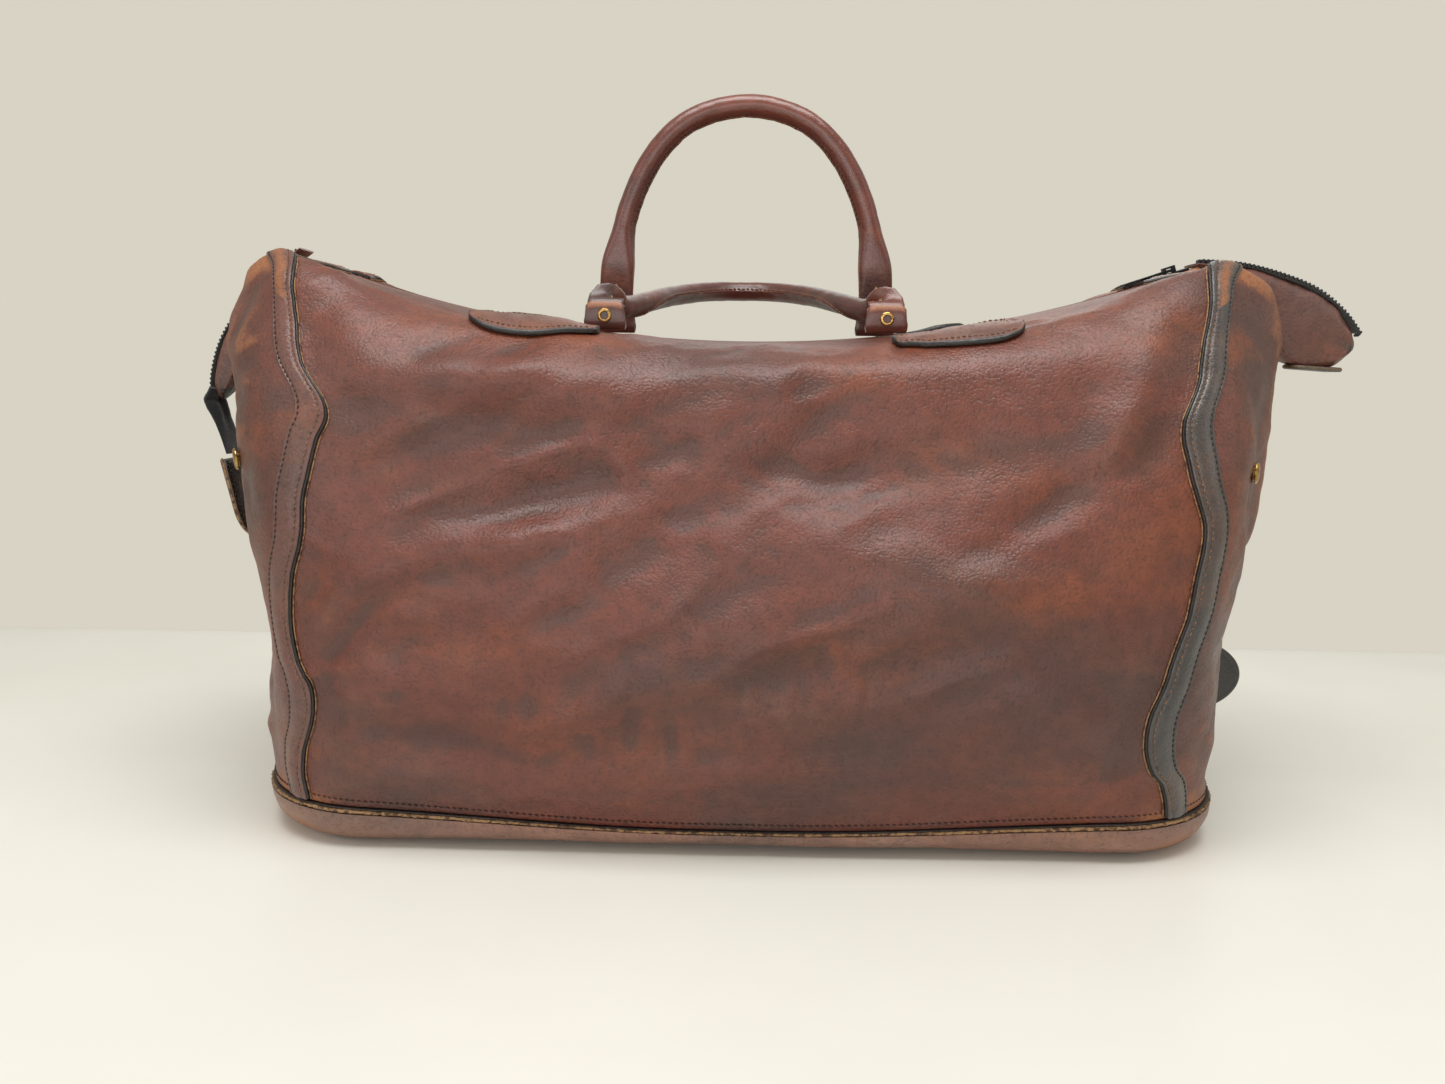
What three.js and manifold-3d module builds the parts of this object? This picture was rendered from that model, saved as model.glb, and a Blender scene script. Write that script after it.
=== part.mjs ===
// A soft leather weekender bag, zipped shut and standing empty on its base.
// Millimetres. +X runs along the bag to its right end, +Y to its back, +Z up.
// The origin is the middle of the base, on the surface that the bag stands on.
import * as THREE from "three";
import { mergeVertices } from "three/addons/utils/BufferGeometryUtils.js";
import Module from "manifold-3d";

const wasm = await Module();
wasm.setup();

// ---- Driving dimensions ----
const SEAM_HEIGHT = 25; // of the welted seam between base and body
const LEATHER = 1.6; // thickness of the body leather
const GAP = 0.4; // between pieces that touch
const CORNER_RADIUS = 70; // of the body's upright corners, seen from above

// The zip runs along an arc that sags between the two ends of the bag.
const ZIP_ARC_RADIUS = 784;
const ZIP_MIDDLE_HEIGHT = 275;
const ZIP_ARC_CENTRE = ZIP_MIDDLE_HEIGHT + ZIP_ARC_RADIUS;
const ZIP_HALF_LENGTH = 259;
const ZIP_HALF_SLOT = 9.5; // from the middle of the zip to the leather's top edge
const CHAIN_HALF_WIDTH = 4;
const TAPE_HALF_WIDTH = 17;
const SLIDER_PLACE = 252; // along X, where the slider rests when the zip is shut

// The body's section, from the seam up over the ridge to the zip: how far up the panel, half the
// depth, the share of the height, and half the length of the bag at that level.
const SECTION = [
  { up: 0.0, depth: 118, height: 0.0, length: 271 },
  { up: 0.12, depth: 125, height: 0.13, length: 268 },
  { up: 0.28, depth: 129, height: 0.32, length: 268 },
  { up: 0.46, depth: 125, height: 0.54, length: 279 },
  { up: 0.62, depth: 113, height: 0.73, length: 282 },
  { up: 0.76, depth: 98, height: 0.88, length: 276 },
  { up: 0.86, depth: 76, height: 0.965, length: 270 },
  { up: 0.94, depth: 42, height: 0.99, length: 267 },
  { up: 1.0, depth: ZIP_HALF_SLOT, height: 1.0, length: 265 },
];
const CORNER_LUMP = { rise: 12, x: 255, xSpread: 38, y: 68, ySpread: 32 };

// Round the body: 0 is the middle of the front, 1 the right end, 2 the back, 3 the left end.
const STRAIGHT_SHARE = 0.55; // of a quarter round, before the corner begins
const CORNER_SHARE = 0.3;
const STRIP_SEAM = 0.653; // where the overlay strip covers the seam from panel to gusset
const STRIP_HALF = 0.022;
const SEAM_GAP = 0.0012;
const QUARTER_LINES = [
  ...evenly(0, STRAIGHT_SHARE, 8),
  0.59,
  STRIP_SEAM - STRIP_HALF,
  STRIP_SEAM,
  STRIP_SEAM + STRIP_HALF,
  ...evenly(0.73, STRAIGHT_SHARE + CORNER_SHARE, 3),
  0.93,
  1,
];
const LEVELS = [0, 0.06, 0.12, 0.2, 0.28, 0.37, 0.46, 0.54, 0.62, 0.7, 0.76, 0.81, 0.86, 0.9, 0.94, 0.97, 1];

const HANDLE = { footX: 81, footY: 28, hingeZ: 297, radius: 6.4, coreRadius: 3.8, bore: 4.6 };
const CHAPE = { width: 24, half: 4, slotHalf: 1.8, bottom: 280.3, top: 295.5, endWidth: 21, endHalf: 1.4 };
const EYELET = { height: 288, flange: 4, barrel: 3, bore: 2.2 };
const PATCH = { from: 76, to: 141, middle: 0.885, lift: 1.0, thickness: 2.2 };

// ---- Small helpers ----
function evenly(from, to, steps) {
  return Array.from({ length: steps + 1 }, (_, i) => from + ((to - from) * i) / steps);
}

function leather(color, roughness = 0.5) {
  return new THREE.MeshStandardMaterial({ color, roughness, metalness: 0 });
}

function metal(color, roughness = 0.35) {
  return new THREE.MeshStandardMaterial({ color, roughness, metalness: 1 });
}

// The value of one column of SECTION at a level, on a smooth curve through its rows.
function sectionValue(key, up) {
  const last = SECTION.length - 1;
  let i = 0;
  while (i < last - 1 && up > SECTION[i + 1].up) i += 1;
  const slope = (k) => {
    const a = SECTION[Math.max(k - 1, 0)];
    const b = SECTION[Math.min(k + 1, last)];
    return (b[key] - a[key]) / (b.up - a.up);
  };
  const [a, b] = [SECTION[i], SECTION[i + 1]];
  const span = b.up - a.up;
  const s = (up - a.up) / span;
  const rise = b[key] - a[key];
  const [m0, m1] = [slope(i) * span, slope(i + 1) * span];
  return a[key] + m0 * s + (3 * rise - 2 * m0 - m1) * s * s + (m0 + m1 - 2 * rise) * s * s * s;
}

function zipHeight(x) {
  return ZIP_ARC_CENTRE - Math.sqrt(ZIP_ARC_RADIUS ** 2 - x * x);
}

// The outer surface of the body at a place round it and a level up it.
function skin(round, up) {
  const turns = Math.floor(round);
  const quadrant = ((turns % 4) + 4) % 4;
  const along = quadrant % 2 ? 1 - (round - turns) : round - turns;
  const length = sectionValue("length", up);
  const depth = sectionValue("depth", up);
  const cornerDepth = Math.min(CORNER_RADIUS, depth - 8);
  let x = length;
  let y = -depth;
  if (along <= STRAIGHT_SHARE) {
    x = ((length - CORNER_RADIUS) * along) / STRAIGHT_SHARE;
  } else if (along < STRAIGHT_SHARE + CORNER_SHARE) {
    const a = (((along - STRAIGHT_SHARE) / CORNER_SHARE) * Math.PI) / 2;
    x = length - CORNER_RADIUS * (1 - Math.sin(a));
    y = -depth + cornerDepth * (1 - Math.cos(a));
  } else {
    y = -(depth - cornerDepth) * ((1 - along) / (1 - STRAIGHT_SHARE - CORNER_SHARE));
  }
  const lump =
    CORNER_LUMP.rise *
    Math.exp(-(((x - CORNER_LUMP.x) / CORNER_LUMP.xSpread) ** 2)) *
    Math.exp(-(((y + CORNER_LUMP.y) / CORNER_LUMP.ySpread) ** 2)) *
    Math.min(1, Math.max(0, (up - 0.6) / 0.2));
  const z = SEAM_HEIGHT + (zipHeight(x) - SEAM_HEIGHT) * sectionValue("height", up) + lump;
  const right = quadrant < 2 ? 1 : -1;
  const back = quadrant === 1 || quadrant === 2 ? -1 : 1;
  return new THREE.Vector3(right * x, back * y, z);
}

function skinNormal(round, up) {
  const d = 0.004;
  const alongRound = skin(round + d, up).sub(skin(round - d, up));
  const upwards = skin(round, Math.min(up + d, 1)).sub(skin(round, Math.max(up - d, 0)));
  return alongRound.cross(upwards).normalize();
}

function offSkin(round, up, offset) {
  return skin(round, up).addScaledVector(skinNormal(round, up), offset);
}

// A closed mesh from rows of points. Each row runs the same way round, and the rows follow one
// another over the outside of the solid. A row of one point is a pole.
function loft(rows, { ring = false, loop = false } = {}) {
  const position = [];
  const put = (a, b, c) => [a, b, c].forEach((p) => position.push(p.x, p.y, p.z));
  const pairs = loop ? rows.length : rows.length - 1;
  for (let j = 0; j < pairs; j += 1) {
    const low = rows[j];
    const high = rows[(j + 1) % rows.length];
    const count = Math.max(low.length, high.length);
    for (let i = 0; i < (ring ? count : count - 1); i += 1) {
      const k = (i + 1) % count;
      if (low.length === 1) put(low[0], high[k], high[i]);
      else if (high.length === 1) put(low[i], low[k], high[0]);
      else {
        put(low[i], low[k], high[k]);
        put(low[i], high[k], high[i]);
      }
    }
  }
  if (!ring && loop) {
    // Both ends of an open sheet: the rows go over its outside and come back along its inside.
    const half = rows.length / 2;
    for (let j = 0; j < half - 1; j += 1) {
      const far = rows.length - 1 - j;
      const [a, b, c, d] = [rows[j], rows[j + 1], rows[far - 1], rows[far]];
      put(a[0], b[0], c[0]);
      put(a[0], c[0], d[0]);
      const n = a.length - 1;
      put(a[n], c[n], b[n]);
      put(a[n], d[n], c[n]);
    }
  }
  const geometry = new THREE.BufferGeometry();
  geometry.setAttribute("position", new THREE.Float32BufferAttribute(position, 3));
  return geometry;
}

// A sheet over part of the body, as thick as outer - inner, both measured outward from the skin.
function sheet(rounds, levels, inner, outer, options = {}) {
  const row = (up, offset) => rounds.map((round) => offSkin(round, up, offset));
  const outside = levels.map((up) => row(up, outer));
  const inside = levels.map((up) => row(up, inner)).reverse();
  return loft([...outside, ...inside], { loop: true, ...options });
}

function solidOf(geometry) {
  const bare = new THREE.BufferGeometry();
  const source = geometry.index ? geometry.toNonIndexed() : geometry;
  bare.setAttribute("position", source.getAttribute("position"));
  const merged = mergeVertices(bare, 1e-4);
  return new wasm.Manifold(
    new wasm.Mesh({
      numProp: 3,
      vertProperties: merged.attributes.position.array,
      triVerts: new Uint32Array(merged.index.array),
    }),
  );
}

function geometryOf(solid) {
  const mesh = solid.getMesh();
  const geometry = new THREE.BufferGeometry();
  geometry.setAttribute("position", new THREE.BufferAttribute(mesh.vertProperties, 3));
  geometry.setIndex(new THREE.BufferAttribute(mesh.triVerts, 1));
  return geometry;
}

// An outline of [x, z] points, as thick along Y as the two depths say.
function plate(outline, yFrom, yTo) {
  const shape = new THREE.Shape(outline.map(([x, z]) => new THREE.Vector2(x, z)));
  const geometry = new THREE.ExtrudeGeometry(shape, { depth: yTo - yFrom, bevelEnabled: false });
  return geometry.rotateX(Math.PI / 2).translate(0, yTo, 0);
}

function boxBetween(low, high) {
  const size = high.map((value, i) => value - low[i]);
  const middle = high.map((value, i) => (value + low[i]) / 2);
  return new THREE.BoxGeometry(...size).translate(...middle);
}

// A band that follows the zip's arc, between two depths below it, from one side to the other.
function zipBand(depthFrom, depthTo, yFrom, yTo, steps = 30) {
  const at = (x, below) => {
    const angle = x / ZIP_ARC_RADIUS;
    const r = ZIP_ARC_RADIUS + below;
    return [r * Math.sin(angle), ZIP_ARC_CENTRE - r * Math.cos(angle)];
  };
  const places = evenly(-ZIP_HALF_LENGTH, ZIP_HALF_LENGTH, steps);
  const lower = places.map((x) => at(x, depthTo));
  const upper = places.map((x) => at(x, depthFrom)).reverse();
  return plate([...lower, ...upper], yFrom, yTo);
}

// A tube, or a solid rod when it has no bore, along a smooth curve through the points.
function tube(points, radius, bore, steps, sides = 10) {
  const section = new THREE.Shape();
  section.absarc(0, 0, radius, 0, 2 * Math.PI);
  if (bore) section.holes.push(new THREE.Path().absarc(0, 0, bore, 0, 2 * Math.PI, true));
  return new THREE.ExtrudeGeometry(section, {
    steps,
    curveSegments: sides,
    extrudePath: new THREE.CatmullRomCurve3(points.map((p) => new THREE.Vector3(...p))),
  });
}

// ---- The bag ----
const bag = new THREE.Group();
const RED_LEATHER = 0x5e2c24;
const DARK_LEATHER = 0x2b1f1f;
const BLACK = 0x121214;
const BRASS = 0xb08a4a;
const CLOTH = 0x1d1c20;

function add(name, geometry, material, parent = bag) {
  const mesh = new THREE.Mesh(geometry, material);
  mesh.name = name;
  parent.add(mesh);
  return mesh;
}

function between(from, to) {
  const inside = QUARTER_LINES.filter((line) => line > from && line < to);
  return [from, ...inside, to];
}

// Both halves of a front or back panel, mirrored about the given middle.
function panelRounds(middle) {
  const half = between(0, STRIP_SEAM - SEAM_GAP);
  return [...half.slice(1).reverse().map((line) => middle - line), ...half.map((line) => middle + line)];
}

function gussetRounds(middle) {
  const half = between(STRIP_SEAM + SEAM_GAP, 1).map((line) => 1 - line);
  return [...half.map((line) => middle - line), ...half.slice(0, -1).reverse().map((line) => middle + line)];
}

function addShell() {
  const surface = leather(RED_LEATHER);
  add("front_panel", sheet(panelRounds(0), LEVELS, -LEATHER, 0), surface);
  add("back_panel", sheet(panelRounds(2), LEVELS, -LEATHER, 0), surface);
  add("right_gusset", sheet(gussetRounds(1), LEVELS, -LEATHER, 0), surface);
  add("left_gusset", sheet(gussetRounds(3), LEVELS, -LEATHER, 0), surface);
  const [lift, top] = [GAP, GAP + 2];
  const strips = [
    ["front_right_strip", 0, 1],
    ["front_left_strip", 0, -1],
    ["back_left_strip", 2, 1],
    ["back_right_strip", 2, -1],
  ];
  for (const [name, middle, side] of strips) {
    const lines = between(STRIP_SEAM - STRIP_HALF, STRIP_SEAM + STRIP_HALF);
    const rounds = lines.map((line) => middle + side * line).sort((a, b) => a - b);
    add(name, sheet(rounds, LEVELS, lift, top), leather(name === "front_right_strip" ? DARK_LEATHER : RED_LEATHER));
  }
}

// A point on the seam's outline, moved outward, at any height.
function seamPoint(round, outward, z) {
  const p = skin(round, 0);
  const n = skinNormal(round, 0);
  n.z = 0;
  n.normalize();
  return new THREE.Vector3(p.x + n.x * outward, p.y + n.y * outward, z);
}

const RING = [0, 1, 2, 3].flatMap((quarter) => {
  const lines = [0, 0.55, 0.61, 0.67, 0.73, 0.79, 0.85];
  return quarter % 2 ? [1, ...lines.slice(1).reverse()].map((line) => quarter + 1 - line) : lines.map((line) => quarter + line);
});

function ringRow(outward, z) {
  return RING.map((round) => seamPoint(round, outward, z));
}

function addBase() {
  const top = SEAM_HEIGHT - 3.9;
  const outside = [[-9, 0], [-3, 1.6], [0.6, 6], [2, 13], [1, top]];
  const inside = [[-1, top], [0, 13], [-1.4, 7], [-5, 3.6], [-9.5, 2]];
  const rows = [...outside, ...inside].map(([outward, z]) => ringRow(outward, z));
  const floorBelow = [new THREE.Vector3(0, 0, 0)];
  const floorAbove = [new THREE.Vector3(0, 0, 2)];
  add("base_cover", loft([floorBelow, ...rows, floorAbove], { ring: true }), leather(RED_LEATHER));

  const board = [
    [new THREE.Vector3(0, 0, 2.5)],
    ringRow(-12, 2.5),
    ringRow(-12, 6),
    [new THREE.Vector3(0, 0, 6)],
  ];
  add("base_board", loft(board, { ring: true }), leather(0x6e5a42, 0.9));

  const welt = [ringRow(4.6, SEAM_HEIGHT - 3.4), ringRow(4.6, SEAM_HEIGHT - GAP)];
  const heart = [ringRow(-1.4, SEAM_HEIGHT - GAP), ringRow(-1.4, SEAM_HEIGHT - 3.4)];
  add("base_welt", loft([...welt, ...heart], { ring: true, loop: true }), leather(0x3a2418, 0.8));
}

function addLining() {
  const rounds = [0, 1, 2, 3].flatMap((quarter) => {
    const lines = QUARTER_LINES.filter((line, i) => line < 1 && (i > 7 || i % 3 === 0));
    return quarter % 2
      ? [1, ...lines.slice(1).reverse()].map((line) => quarter + 1 - line)
      : lines.map((line) => quarter + line);
  });
  const levels = LEVELS.filter((level, i) => i % 2 === 1 && level < 0.92);
  add("lining", sheet(rounds, levels, -5.8, -4.8, { ring: true }), leather(CLOTH, 0.9));
}

function addZip() {
  const cloth = leather(BLACK, 0.85);
  const inner = CHAIN_HALF_WIDTH + GAP;
  add("zip_chain", zipBand(0.4, 3.6, -CHAIN_HALF_WIDTH, CHAIN_HALF_WIDTH), leather(BLACK, 0.4));
  add("front_zip_tape", zipBand(2.8, 3.7, -TAPE_HALF_WIDTH, -inner), cloth);
  add("back_zip_tape", zipBand(2.8, 3.7, inner, TAPE_HALF_WIDTH), cloth);
}

// The slider rides over the chain, and turns about the centre of the zip's arc.
function addSlider() {
  const place = new THREE.Group();
  place.position.set(0, 0, ZIP_ARC_CENTRE);
  place.rotation.y = -Math.asin(SLIDER_PLACE / ZIP_ARC_RADIUS);
  bag.add(place);
  const ground = -ZIP_ARC_RADIUS;
  const bodyHalf = 9;
  const [wide, lip] = [6.6, 5];
  const plateTop = solidOf(boxBetween([-bodyHalf, -wide, ground + 0.2], [bodyHalf, wide, ground + 2]));
  const sides = [-1, 1].map((side) => {
    const ys = [side * lip, side * wide].sort((a, b) => a - b);
    return solidOf(boxBetween([-bodyHalf, ys[0], ground - 1.6], [bodyHalf, ys[1], ground + 1]));
  });
  const bridge = [-1, 1].map((side) => {
    const xs = [side * 2, side * 3.6].sort((a, b) => a - b);
    return solidOf(boxBetween([xs[0], -1.8, ground + 1], [xs[1], 1.8, ground + 5.6]));
  });
  const roof = solidOf(boxBetween([-3.6, -1.8, ground + 4.6], [3.6, 1.8, ground + 5.8]));
  const slider = [...sides, ...bridge, roof].reduce((whole, piece) => whole.add(piece), plateTop);
  add("zip_slider", geometryOf(slider), metal(0x2a2a2c), place);

  const pin = ground + 3.3; // the height of the pull's cross bar, inside the bridge
  const bar = solidOf(boxBetween([-0.8, -4.4, pin - 0.8], [0.8, 4.4, pin + 0.8]));
  const arms = [-1, 1].map((side) => {
    const ys = [side * 2.4, side * 4.4].sort((a, b) => a - b);
    return solidOf(boxBetween([-12, ys[0], pin - 0.8], [0.8, ys[1], pin + 0.8]));
  });
  const tab = solidOf(boxBetween([-28, -4.4, pin - 0.8], [-8, 4.4, pin + 0.8]));
  const hole = solidOf(boxBetween([-25, -2, pin - 2], [-19, 2, pin + 2]));
  const pull = [...arms, tab].reduce((whole, piece) => whole.add(piece), bar).subtract(hole);
  add("zip_pull", geometryOf(pull), metal(0x2a2a2c), place);
}

// A strip that keeps one gap from a line of [x, z] points, on the side that is to its left.
function bandBeside(line, gap, thickness) {
  const shifted = (distance) =>
    line.map(([x, z], i) => {
      const [ax, az] = line[Math.max(i - 1, 0)];
      const [bx, bz] = line[Math.min(i + 1, line.length - 1)];
      const run = Math.hypot(bx - ax, bz - az);
      return [x - ((bz - az) / run) * distance, z + ((bx - ax) / run) * distance];
    });
  return [...shifted(gap), ...shifted(gap + thickness).reverse()];
}

const END_HINGE = { x: 268, z: zipHeight(268) + 1.8 };
const END_TOP = [[-4, 0], [25, -2], [50, -8], [70, -16], [86, -28], [97, -42]];
const RIGHT_UNDER = [[92, -51], [80, -56], [58, -54], [40, -45], [20, -23], [8, -1.2], [-4, -1.2]];
const LEFT_UNDER = [[86, -44], [66, -36], [44, -26], [20, -12], [8, -1.2], [-4, -1.2]];
const LEFT_END_DROP = THREE.MathUtils.degToRad(35);

// The zip runs out past each end of the bag on a leather end piece, which folds at END_HINGE.
function addZipEnd(side, drop, underLine) {
  const name = side > 0 ? "right" : "left";
  const place = ([x, z]) => {
    const turned = [x * Math.cos(drop) + z * Math.sin(drop), z * Math.cos(drop) - x * Math.sin(drop)];
    return [side * (END_HINGE.x + turned[0]), END_HINGE.z + turned[1]];
  };
  const under = underLine.map(place);
  add(`${name}_zip_end_leather`, plate([...END_TOP.map(place), ...under], -11, 11), leather(RED_LEATHER));
  const chain = bandBeside(END_TOP, GAP, 2.6).map(place);
  add(`${name}_zip_end_chain`, plate(chain, -6, 6), leather(BLACK, 0.5));
}

const TAB = { thickness: 3.4, half: 19, length: 50, stud: 32 };

// A leather tab: straight at its fold, rounded at its free end. It lies along X from the origin.
function tabOutline(half, length) {
  const shape = new THREE.Shape();
  shape.moveTo(0, -half);
  shape.lineTo(length - half, -half);
  shape.absarc(length - half, 0, half, -Math.PI / 2, Math.PI / 2);
  shape.lineTo(0, half);
  return shape;
}

function addStud(name, place, axis, height, radius, parent = bag) {
  const profile = [[0, 0], [radius * 0.62, 0], [radius * 0.62, height * 0.35], [radius, height * 0.4],
    [radius * 0.92, height * 0.85], [radius * 0.5, height], [0, height]];
  const geometry = new THREE.LatheGeometry(profile.map(([r, y]) => new THREE.Vector2(r, y)), 12);
  const mesh = add(name, geometry, metal(BRASS), parent);
  mesh.quaternion.setFromUnitVectors(new THREE.Vector3(0, 1, 0), axis.clone().normalize());
  mesh.position.copy(place);
}

const LEFT_TAB_FOLD = { x: -312, z: 201 };
const LEFT_TAB_LEAN = THREE.MathUtils.degToRad(12);

// The left end is folded down, and the snap tab hangs from its cloth tail beside its socket.
function addLeftTab() {
  const tail = [[-321.5, 229.5], [-318.5, 231], [-311.4, 205.6], [-314, 203.8]];
  add("left_tail", plate(tail, -9, 9), leather(BLACK, 0.9));
  const fold = new THREE.Group();
  fold.position.set(LEFT_TAB_FOLD.x, 0, LEFT_TAB_FOLD.z);
  fold.rotation.y = Math.PI / 2 - LEFT_TAB_LEAN;
  bag.add(fold);
  const flat = new THREE.ExtrudeGeometry(tabOutline(TAB.half, TAB.length), {
    depth: TAB.thickness,
    bevelEnabled: false,
    curveSegments: 10,
  });
  flat.translate(0, 0, -TAB.thickness);
  add("left_snap_tab", flat, leather(BLACK, 0.35), fold);
  const out = new THREE.Vector3(0, 0, -1);
  addStud("left_snap_cap", new THREE.Vector3(TAB.stud, 0, -TAB.thickness - GAP), out, 3, 6.2, fold);
}

// The right end stands out, with its own tab folded back under it.
const RIGHT_TAB = { foldX: END_HINGE.x + 86, foldZ: END_HINGE.z - 59.6, lean: 0.06, half: 9, length: 30 };

function addRightTab() {
  const fold = new THREE.Group();
  fold.position.set(RIGHT_TAB.foldX, 0, RIGHT_TAB.foldZ);
  fold.rotation.y = Math.PI + RIGHT_TAB.lean;
  bag.add(fold);
  const flat = new THREE.ExtrudeGeometry(tabOutline(RIGHT_TAB.half, RIGHT_TAB.length), {
    depth: 2.6,
    bevelEnabled: false,
    curveSegments: 8,
  });
  add("right_snap_tab", flat, leather(BLACK, 0.35), fold);
}

function addGussetHardware() {
  const level = 0.515;
  const spots = [
    ["left_gusset_stud_front", 3.2],
    ["left_gusset_stud_back", 2.8],
    ["right_gusset_stud_front", 0.8],
    ["right_gusset_stud_back", 1.2],
  ];
  for (const [name, round] of spots) {
    addStud(name, offSkin(round, level, GAP + 0.3), skinNormal(round, level), 3, 6);
  }
  const sockets = [["left_snap_socket", 3, 0.41, 7], ["right_snap_socket", 1, 0.41, 4]];
  for (const [name, round, up, height] of sockets) {
    addStud(name, offSkin(round, up, GAP + 0.3), skinNormal(round, up), height, 6);
  }
  const lobe = new THREE.Shape();
  lobe.moveTo(0, -24);
  lobe.absellipse(0, 0, 38, 24, -Math.PI / 2, Math.PI / 2);
  const pull = new THREE.ExtrudeGeometry(lobe, { depth: 5, bevelEnabled: false, curveSegments: 10 });
  pull.rotateX(Math.PI / 2).translate(272.5, -4, 75);
  add("right_gusset_tab", pull, leather(BLACK, 0.3));
}

// A patch stitched on the shoulder beside each handle foot, narrow there and round at its far end.
function addPatch(name, right, back) {
  const steps = 9;
  const columns = evenly(0, 1, steps).map((along) => {
    const x = PATCH.from + (PATCH.to - PATCH.from) * along;
    const round = (x * STRAIGHT_SHARE) / (sectionValue("length", PATCH.middle) - CORNER_RADIUS);
    const open = 0.016 + 0.026 * Math.sin((Math.PI / 2) * Math.min(1, along * 1.6));
    const rounding = along > 0.7 ? Math.sqrt(Math.max(0.02, 1 - ((along - 0.7) / 0.3) ** 2)) : 1;
    return { round, low: PATCH.middle - open * rounding, high: PATCH.middle + open * rounding };
  });
  const base = back ? 2 : 0;
  const side = back ? -right : right;
  const ordered = side > 0 ? columns : [...columns].reverse();
  const rows = [0, 0.5, 1].map((across) => (offset) =>
    ordered.map(({ round, low, high }) => offSkin(base + side * round, low + (high - low) * across, offset)),
  );
  const outside = rows.map((row) => row(PATCH.lift + PATCH.thickness));
  const inside = rows.map((row) => row(PATCH.lift)).reverse();
  add(name, loft([...outside, ...inside], { loop: true }), leather(RED_LEATHER));
}

// Each handle foot: a folded chape standing on the slope, the handle's flat end in it, an eyelet.
function addFoot(handle, right, back) {
  const x = right * HANDLE.footX;
  const y = (back ? 1 : -1) * HANDLE.footY;
  const label = right > 0 ? "right" : "left";
  const hole = new THREE.CylinderGeometry(EYELET.barrel + 0.3, EYELET.barrel + 0.3, 20, 14);
  const bore = solidOf(hole.translate(x, y, EYELET.height));
  const half = CHAPE.width / 2;
  const fold = solidOf(boxBetween([x - half, y - CHAPE.half, CHAPE.bottom], [x + half, y + CHAPE.half, CHAPE.top]));
  const slot = solidOf(
    boxBetween([x - half - 1, y - CHAPE.slotHalf, CHAPE.bottom + 1.8], [x + half + 1, y + CHAPE.slotHalf, CHAPE.top + 1]),
  );
  add(`${handle}_chape_${label}`, geometryOf(fold.subtract(slot).subtract(bore)), leather(RED_LEATHER));
  const flatHalf = CHAPE.endWidth / 2;
  const end = solidOf(
    boxBetween([x - flatHalf, y - CHAPE.endHalf, CHAPE.bottom + 2.2], [x + flatHalf, y + CHAPE.endHalf, CHAPE.top - 0.1]),
  );
  add(`${handle}_flat_end_${label}`, geometryOf(end.subtract(bore)), leather(RED_LEATHER));
  const reach = CHAPE.half + 0.3;
  const profile = [
    [EYELET.bore, -reach - 0.8], [EYELET.flange, -reach - 0.8], [EYELET.flange, -reach], [EYELET.barrel, -reach],
    [EYELET.barrel, reach], [EYELET.flange, reach], [EYELET.flange, reach + 0.8], [EYELET.bore, reach + 0.8],
    [EYELET.bore, -reach - 0.8],
  ];
  const ring = new THREE.LatheGeometry(profile.map(([r, h]) => new THREE.Vector2(r, h)), 14);
  add(`${handle}_eyelet_${label}`, ring.translate(x, y, EYELET.height), metal(BRASS));
}

// Half of each handle's line: out along X, back along Y and up along Z from its hinge. The roll
// starts past a flat neck, which leans back from upright at the hinge by the lean.
const NECK = { length: 7, start: 0.8, overlap: 0.25 };
const REAR_LINE = { lean: 0, arch: [[80, 0, 26], [75, 0, 58], [59, 0, 92], [36, 0, 114], [0, 0, 123]] };
const FRONT_LINE = {
  lean: THREE.MathUtils.degToRad(88),
  arch: [[79, 15, -0.5], [76, 25, -2.5], [69, 38, -1], [60, 56, 3], [46, 86, 9], [24, 112, 13.5], [0, 121, 14.5]],
};

function addHandle(handle, back, { lean, arch }) {
  const y = (back ? 1 : -1) * HANDLE.footY;
  const reach = (length) => [HANDLE.footX, length * Math.sin(lean), length * Math.cos(lean)];
  const at = (side) => ([px, py, pz]) => [side * px, y + py, HANDLE.hingeZ + pz];
  const line = (start) => {
    const half = [reach(start), ...arch];
    return [...half.map(at(-1)), ...half.slice(0, -1).reverse().map(at(1))];
  };
  const roll = solidOf(tube(line(NECK.length), HANDLE.radius, HANDLE.bore, 24, 5));
  const flatHalf = CHAPE.endWidth / 2;
  const necks = [-1, 1].map((side) => {
    const flat = boxBetween(
      [-flatHalf, -CHAPE.endHalf, NECK.start],
      [flatHalf, CHAPE.endHalf, NECK.length + NECK.overlap],
    );
    return solidOf(flat.rotateX(-lean).translate(side * HANDLE.footX, y, HANDLE.hingeZ));
  });
  const cover = necks.reduce((whole, piece) => whole.add(piece), roll);
  add(`${handle}_handle_cover`, geometryOf(cover), leather(RED_LEATHER));
  const core = tube(line(NECK.length + 1.5), HANDLE.coreRadius, 0, 24, 4);
  add(`${handle}_handle_core`, core, leather(0x8a7a5c, 0.9));
  for (const right of [-1, 1]) {
    addFoot(handle, right, back);
    addPatch(`${handle}_patch_${right > 0 ? "right" : "left"}`, right, back);
  }
}

addShell();
addBase();
addLining();
addZip();
addSlider();
addZipEnd(1, 0, RIGHT_UNDER);
addZipEnd(-1, LEFT_END_DROP, LEFT_UNDER);
addLeftTab();
addRightTab();
addGussetHardware();
addHandle("front", false, FRONT_LINE);
addHandle("rear", true, REAR_LINE);

export default bag;
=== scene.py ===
"""A worn oxblood leather weekender bag, zipped shut and standing empty on its base.

Sizes are in millimetres unless a name says otherwise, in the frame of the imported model:
+X to the bag's right end, +Y to its back, +Z up, from the middle of the base on the floor.
"""

import logging
import math
from dataclasses import dataclass
from enum import Enum
from typing import Callable, Iterable, Sequence

import bmesh
import bpy
import numpy as np
from mathutils import Matrix, Vector


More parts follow.
